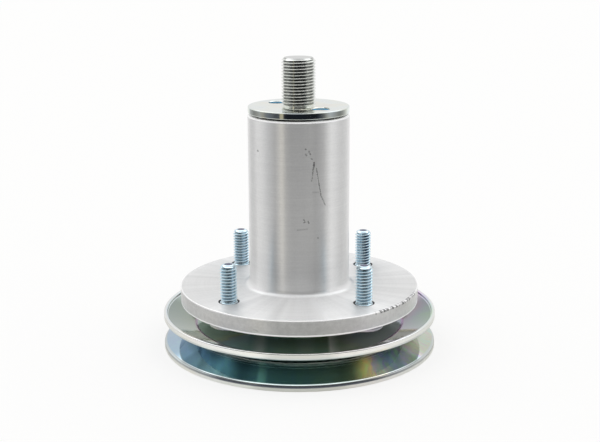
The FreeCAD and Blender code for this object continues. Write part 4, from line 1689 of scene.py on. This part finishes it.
@dataclass
class BladeShaft:
    """The shaft, with the threaded blade stud above the disc."""

    finishes: Finishes
    size: Sizes = SIZES
    neck_radius: float = 7.2
    neck_length: float = 0.35
    stud_bevel: float = 1.35
    stud_edge: float = 0.12
    pitch: float = 1.4111
    depth: float = 0.86
    crest_play: float = 0.02
    run_out: float = 0.03
    tail_radius: float = 5.556
    tail_foot: float = 0.3
    tail_bevel: float = 0.7
    journal_foot: float = 6.775
    segments: int = 120

    def build(self) -> None:
        """Make the shaft."""
        radius, top, seat = self.size.shaft_radius, self.size.stud_top, self.size.disc_top
        high = top - self.stud_bevel + self.depth + self.run_out
        start = seat + self.neck_length
        thread = Thread(self.pitch, radius - self.crest_play, self.depth, start, high, self.neck_radius, top,
                        self.stud_bevel, rounded=False)
        cut = thread.cut()
        shell = Shell()
        shell.turned([
            Corner(0.0, self.tail_foot),
            Corner(self.tail_radius - self.tail_bevel, self.tail_foot),
            Corner(self.tail_radius, self.tail_foot + self.tail_bevel),
            Corner(self.tail_radius, self.journal_foot),
            Corner(radius, self.journal_foot),
            Corner(radius, seat),
            Corner(self.neck_radius, seat),
            Corner(self.neck_radius, start)], self.segments, closed=False)
        shell.threaded(thread, self.segments)
        shell.turned([Corner(cut, high), Corner(cut + high - top, top, self.stud_edge), Corner(0.0, top)],
                     self.segments, closed=False)
        fitted(shell.piece("threaded_shaft"), Body.ROTOR, Slot.SHAFT, self.finishes, "spindle_shaft")


@dataclass
class BladeDisc:
    """The flat disc that drives the blade, with its two pin holes."""

    finishes: Finishes
    size: Sizes = SIZES
    boss_radius: float = 9.9
    edge: float = 0.4
    hole_bevel: float = 0.25
    segments: int = 240

    def build(self) -> None:
        """Make the disc."""
        size = self.size
        holes = [Hole(x, y, size.pin_radius, self.hole_bevel)
                 for x, y in on_circle(size.pin_circle, size.pin_turns)]
        shell = Shell()
        shell.turned([
            Corner(size.shaft_radius, size.upper_bearing_top),
            Corner(self.boss_radius, size.upper_bearing_top),
            Corner(self.boss_radius, size.disc_bottom, pierced=True),
            Corner(size.disc_radius, size.disc_bottom, self.edge),
            Corner(size.disc_radius, size.disc_top, self.edge, pierced=True),
            Corner(size.shaft_radius, size.disc_top)], self.segments, holes=holes)
        fitted(shell.piece("drive_disc"), Body.ROTOR, Slot.DISC, self.finishes, "blade_disc")


@dataclass
class BeltPulley:
    """The two pressed sheaves, back to back."""

    finishes: Finishes
    size: Sizes = SIZES
    sheet: float = 2.2
    lip: float = 1.7
    band: float = 3.055
    bend: float = 1.6
    rim_round: float = 0.5
    groove_lip: float = 1.45
    hub_radius: float = 14.0
    rivet_radius: float = 2.38
    rivet_circle: float = 18.0
    rivet_count: int = 6
    rivet_segments: int = 32
    segments: int = 360

    def outline(self) -> list[Corner]:
        """Give one sheave above the plane where the two meet.

        Returns:
            The sheave's corners.
        """
        root, rim, slope = self.size.groove_root, self.size.rim_radius, math.radians(self.size.groove_slope)
        rise = math.tan(slope)
        thick = self.sheet / math.cos(slope)
        rim_foot = (rim - root) * rise
        return [
            Corner(self.hub_radius, 0.0, pierced=True),
            Corner(root, 0.0, self.bend),
            Corner(rim, rim_foot, self.groove_lip),
            Corner(rim, rim_foot + self.band, self.rim_round),
            Corner(rim - self.lip, rim_foot + self.band, self.rim_round),
            Corner(rim - self.lip, thick + (rim - self.lip - root) * rise, self.rim_round),
            Corner(root - (thick - self.sheet) / rise, self.sheet, self.bend, pierced=True),
            Corner(self.hub_radius, self.sheet)]

    def build(self) -> None:
        """Make both sheaves."""
        middle = self.size.pulley_middle
        turns = [360.0 / self.rivet_count * number for number in range(self.rivet_count)]
        holes = [Hole(x, y, self.rivet_radius, segments=self.rivet_segments)
                 for x, y in on_circle(self.rivet_circle, turns)]
        outline = self.outline()
        upper = [Corner(c.radius, middle + c.height, c.rounding, c.pierced) for c in outline]
        lower = [Corner(c.radius, middle - c.height, c.rounding, before.pierced)
                 for c, before in zip(outline[::-1], outline[-2::-1] + outline[-1:])]
        for name, corners in (("upper_sheave", upper), ("lower_sheave", lower)):
            shell = Shell()
            shell.turned(corners, self.segments, holes=holes)
            fitted(shell.piece(f"pressed_{name}"), Body.ROTOR, Slot.PULLEY, self.finishes, name)


@dataclass
class InnerWorks:
    """The parts that keep their CAD shape: bearings, spacers, hub, rivets, key, nut and ring."""

    finishes: Finishes

    def build(self) -> None:
        """Give each shown CAD node the finish of its slot."""
        slots = {row["node"]: Slot(row["material_slot"]) for row in frame["record"]["subparts"]}
        for name, node in frame["nodes"].items():
            if node.hide_render:
                continue
            node.data.materials.clear()
            node.data.materials.append(self.finishes.of(slots[name]))
            LOG.info("%s: %s", name, slots[name].value)


# Studio


@dataclass
class Studio:
    """White surroundings, with the strips and dark side that the metal shows."""

    white: Colour = (1.0, 1.0, 1.0)
    ceiling_lean: float = 16.0
    ceiling_reach: float = 44.0
    ceiling_core: float = 26.0
    ceiling_ease: float = 5.0
    ceiling_ring: Colour = (1.9, 1.91, 1.94)
    ceiling_middle: Colour = (0.94, 0.945, 0.96)
    underfoot: Colour = (0.95, 0.94, 0.92)
    warm_red: float = 0.12
    warm_blue: float = 0.25
    board_radius: float = 134.0
    board_fade: float = 14.0
    board_colour: Colour = (0.78, 0.77, 0.735)
    board_span: float = 2.0
    paper_colour: Colour = (0.96, 0.955, 0.94)
    paper_glow: float = 0.75
    floor_reach: float = 6.0
    floor_corners: int = 96
    camera_sensor: float = 36.0
    camera_lens: float = 69.3
    camera_shift: float = 0.0016
    camera_place: tuple[float, float, float] = (0.0, -0.5331, 0.19815)
    camera_dip: float = 14.52
    camera_roll: float = -0.22
    BOARD: ClassVar[TurnTable] = (
        (-180, 1.0), (-100, 1.05), (-75, 1.15), (-40, 1.38), (-22, 1.34), (-15, 1.0), (16, 1.0), (22, 1.25),
        (40, 1.3), (60, 1.2), (100, 1.05), (180, 1.0))
    DEEP: ClassVar[Belt] = (
        (-180, 0.95), (-150, 0.90), (-130, 0.80), (-95, 0.78), (-78, 0.70), (-64, 0.66), (-40, 0.66, 0.5),
        (-32, 0.03, -1.0), (16, 0.015, -1.0), (26, 0.35), (48, 0.50), (60, 0.50), (70, 0.70), (80, 0.86),
        (110, 0.80), (140, 0.90), (180, 0.95))
    LOW: ClassVar[Belt] = (
        (-180, 1.0), (-150, 0.90), (-140, 0.48), (-120, 0.26), (-108, 0.32), (-97, 0.40), (-87, 0.33),
        (-78, 0.20, -0.5), (-62, 0.14, -0.5), (-54, 0.08, -0.8), (-43.5, 0.09, -0.8), (-42, 0.42, 1.0),
        (-35, 0.42, 1.0), (-33.5, 0.03, -1.0), (-26, 0.014, -1.4), (40, 0.013, -1.4), (47, 0.04, -1.0),
        (53, 0.08, -0.6), (60, 0.17), (68, 0.38), (76, 0.48), (84, 0.40), (96, 0.29), (106, 0.23),
        (116, 0.31), (126, 0.50), (136, 0.75), (148, 0.97), (180, 1.0))
    HIGH: ClassVar[Belt] = (
        (-180, 0.88), (-150, 0.88), (-130, 0.95), (-100, 1.05), (-86, 0.95), (-72, 0.62), (-58, 0.34),
        (-44, 0.22), (-42, 0.66, 0.8), (-35, 0.66, 0.8), (-33, 0.16), (44, 0.14), (54, 0.24), (64, 0.75),
        (73, 1.15), (100, 1.05), (120, 0.85), (145, 0.88), (180, 0.88))
    UPPER: ClassVar[Belt] = (
        (-180, 1.05), (-150, 0.85), (-125, 0.45), (-95, 0.36), (-90, 0.09), (-74, 0.09), (-66, 0.26),
        (-56, 0.28), (-47, 0.11), (44, 0.10), (57, 0.18), (60, 0.44), (66, 0.24), (69, 0.52), (78, 0.48),
        (82, 0.14), (95, 0.12), (98, 0.46), (120, 0.50), (150, 0.85), (180, 1.05))

    def belt(self, recipe: Recipe, share: Socket, stops: Belt) -> Socket:
        """Look up one belt of the surroundings, from rows of (degrees, level) or (degrees, level, warmth).

        Args:
            recipe: Where the nodes go.
            share: The share of the turn.
            stops: The belt's rows.

        Returns:
            The belt's colour.
        """
        rows = []
        for degrees, level, *more in stops:
            warmth = more[0] if more else 0.0
            red, blue = 1.0 + self.warm_red * warmth, 1.0 - self.warm_blue * warmth
            rows.append((share_of_turn(degrees), (level * red, level, level * blue)))
        return recipe.ramp(share, rows)

    def overhead(self, recipe: Recipe, towards: Socket, reach: float) -> Socket:
        """Find the directions within so many degrees of the ceiling's middle.

        Args:
            recipe: Where the nodes go.
            towards: The cosine of the angle to the ceiling's middle.
            reach: How far it reaches, in degrees.

        Returns:
            Where they are, from 0 to 1.
        """
        outer = math.cos(math.radians(reach + self.ceiling_ease))
        inner = math.cos(math.radians(reach - self.ceiling_ease))
        return recipe.spread(towards, outer, inner, smooth=True)

    def world(self) -> None:
        """Make the surroundings, belt above belt."""
        world = bpy.data.worlds.new("studio")
        bpy.context.scene.world = world
        world.use_nodes = True
        world.cycles.sampling_method = "NONE"
        world.node_tree.nodes.clear()
        recipe = Recipe(world.node_tree)
        x, y, z = recipe.split(recipe.coordinates("Generated"))
        share, rise = recipe.of_turn(recipe.azimuth(x, y)), recipe.sum("ARCSINE", z)
        seen = self.belt(recipe, share, self.DEEP)
        for stops, low, high in ((self.LOW, -20.0, -15.0), (self.HIGH, -2.0, 3.0), (self.UPPER, 25.0, 30.0)):
            above = recipe.by_degrees(rise, low, high, smooth=True)
            seen = recipe.blend(above, seen, self.belt(recipe, share, stops))
        lean = math.radians(self.ceiling_lean)
        towards = recipe.plus(recipe.times(y, math.sin(lean)), recipe.times(z, math.cos(lean)))
        core = self.overhead(recipe, towards, self.ceiling_core)
        ceiling = recipe.blend(core, self.ceiling_ring, self.ceiling_middle)
        seen = recipe.blend(self.overhead(recipe, towards, self.ceiling_reach), seen, ceiling)
        seen = recipe.blend(recipe.by_degrees(rise, -84.0, -76.0, smooth=True), self.underfoot, seen)
        path = recipe.node("ShaderNodeLightPath")
        for ray in ("Is Diffuse Ray", "Is Camera Ray"):
            seen = recipe.blend(path.outputs[ray], seen, self.white)
        light = recipe.node("ShaderNodeBackground")
        recipe.feed(light.inputs["Color"], seen)
        output = recipe.node("ShaderNodeOutputWorld")
        recipe.feed(output.inputs["Surface"], light.outputs[0])

    def floor(self) -> None:
        """Lay the white floor, which metal sees only near the part."""
        mesh = bpy.data.meshes.new("floor")
        turns = [360.0 / self.floor_corners * number for number in range(self.floor_corners)]
        rim = [(x, y, 0.0) for x, y in on_circle(self.floor_reach, turns)]
        mesh.from_pydata(rim, [], [list(range(self.floor_corners))])
        floor = bpy.data.objects.new("floor", mesh)
        bpy.context.scene.collection.objects.link(floor)
        material = bpy.data.materials.new("floor")
        material.use_nodes = True
        material.node_tree.nodes.clear()
        recipe = Recipe(material.node_tree)
        x, y, _ = recipe.split(recipe.coordinates("Object"))
        far = recipe.spread(recipe.from_axis(x, y), self.board_radius * MM,
                            (self.board_radius + self.board_fade) * MM, smooth=True)
        share = recipe.of_turn(recipe.azimuth(x, y))
        board = recipe.grey(recipe.table(share, self.BOARD, self.board_span))
        board = recipe.tint(1.0, board, self.board_colour)
        path = recipe.node("ShaderNodeLightPath")
        paper = recipe.node("ShaderNodeBsdfDiffuse")
        mirrored = path.outputs["Is Glossy Ray"]
        recipe.feed(paper.inputs["Color"], recipe.blend(mirrored, self.paper_colour, board))
        glow = recipe.times(path.outputs["Is Camera Ray"], self.paper_glow)
        soft = self.either(recipe, glow, paper, recipe.node("ShaderNodeEmission"))
        clear = recipe.node("ShaderNodeBsdfTransparent")
        mixed = self.either(recipe, recipe.times(far, mirrored), soft, clear)
        output = recipe.node("ShaderNodeOutputMaterial")
        recipe.feed(output.inputs["Surface"], mixed.outputs[0])
        mesh.materials.append(material)

    def either(self, recipe: Recipe, share: Socket, first: bpy.types.Node,
               second: bpy.types.Node) -> bpy.types.Node:
        """Mix two shaders.

        Args:
            recipe: Where the nodes go.
            share: The share of the second, from 0 to 1.
            first: The first shader.
            second: The second shader.

        Returns:
            The mixed shader.
        """
        made = recipe.node("ShaderNodeMixShader")
        for target, value in zip(made.inputs, (share, first.outputs[0], second.outputs[0])):
            recipe.feed(target, value)
        return made

    def camera(self) -> None:
        """Stand the camera where the photograph was taken from."""
        data = bpy.data.cameras.new("camera")
        data.sensor_width = self.camera_sensor
        data.lens = self.camera_lens
        data.shift_x = self.camera_shift
        camera = bpy.data.objects.new("camera", data)
        camera.location = self.camera_place
        tilt = Matrix.Rotation(math.radians(90.0 - self.camera_dip), 3, "X")
        roll = Matrix.Rotation(math.radians(self.camera_roll), 3, "Z")
        camera.rotation_euler = (tilt @ roll).to_euler()
        bpy.context.scene.collection.objects.link(camera)
        bpy.context.scene.camera = camera

    def build(self) -> None:
        """Set the studio up."""
        bpy.context.scene.view_settings.view_transform = "Standard"
        self.world()
        self.floor()
        self.camera()


def main() -> None:
    """Build and dress everything, and set up the studio."""
    logging.basicConfig(level=logging.INFO, format="%(message)s")
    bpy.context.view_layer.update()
    finishes = Finishes()
    for part in (Housing(finishes), DeckBolts(finishes), BladeShaft(finishes), BladeDisc(finishes),
                 BeltPulley(finishes), InnerWorks(finishes)):
        part.build()
        LOG.info("built %s", type(part).__name__)
    Studio().build()


if __name__ == "__main__":
    main()
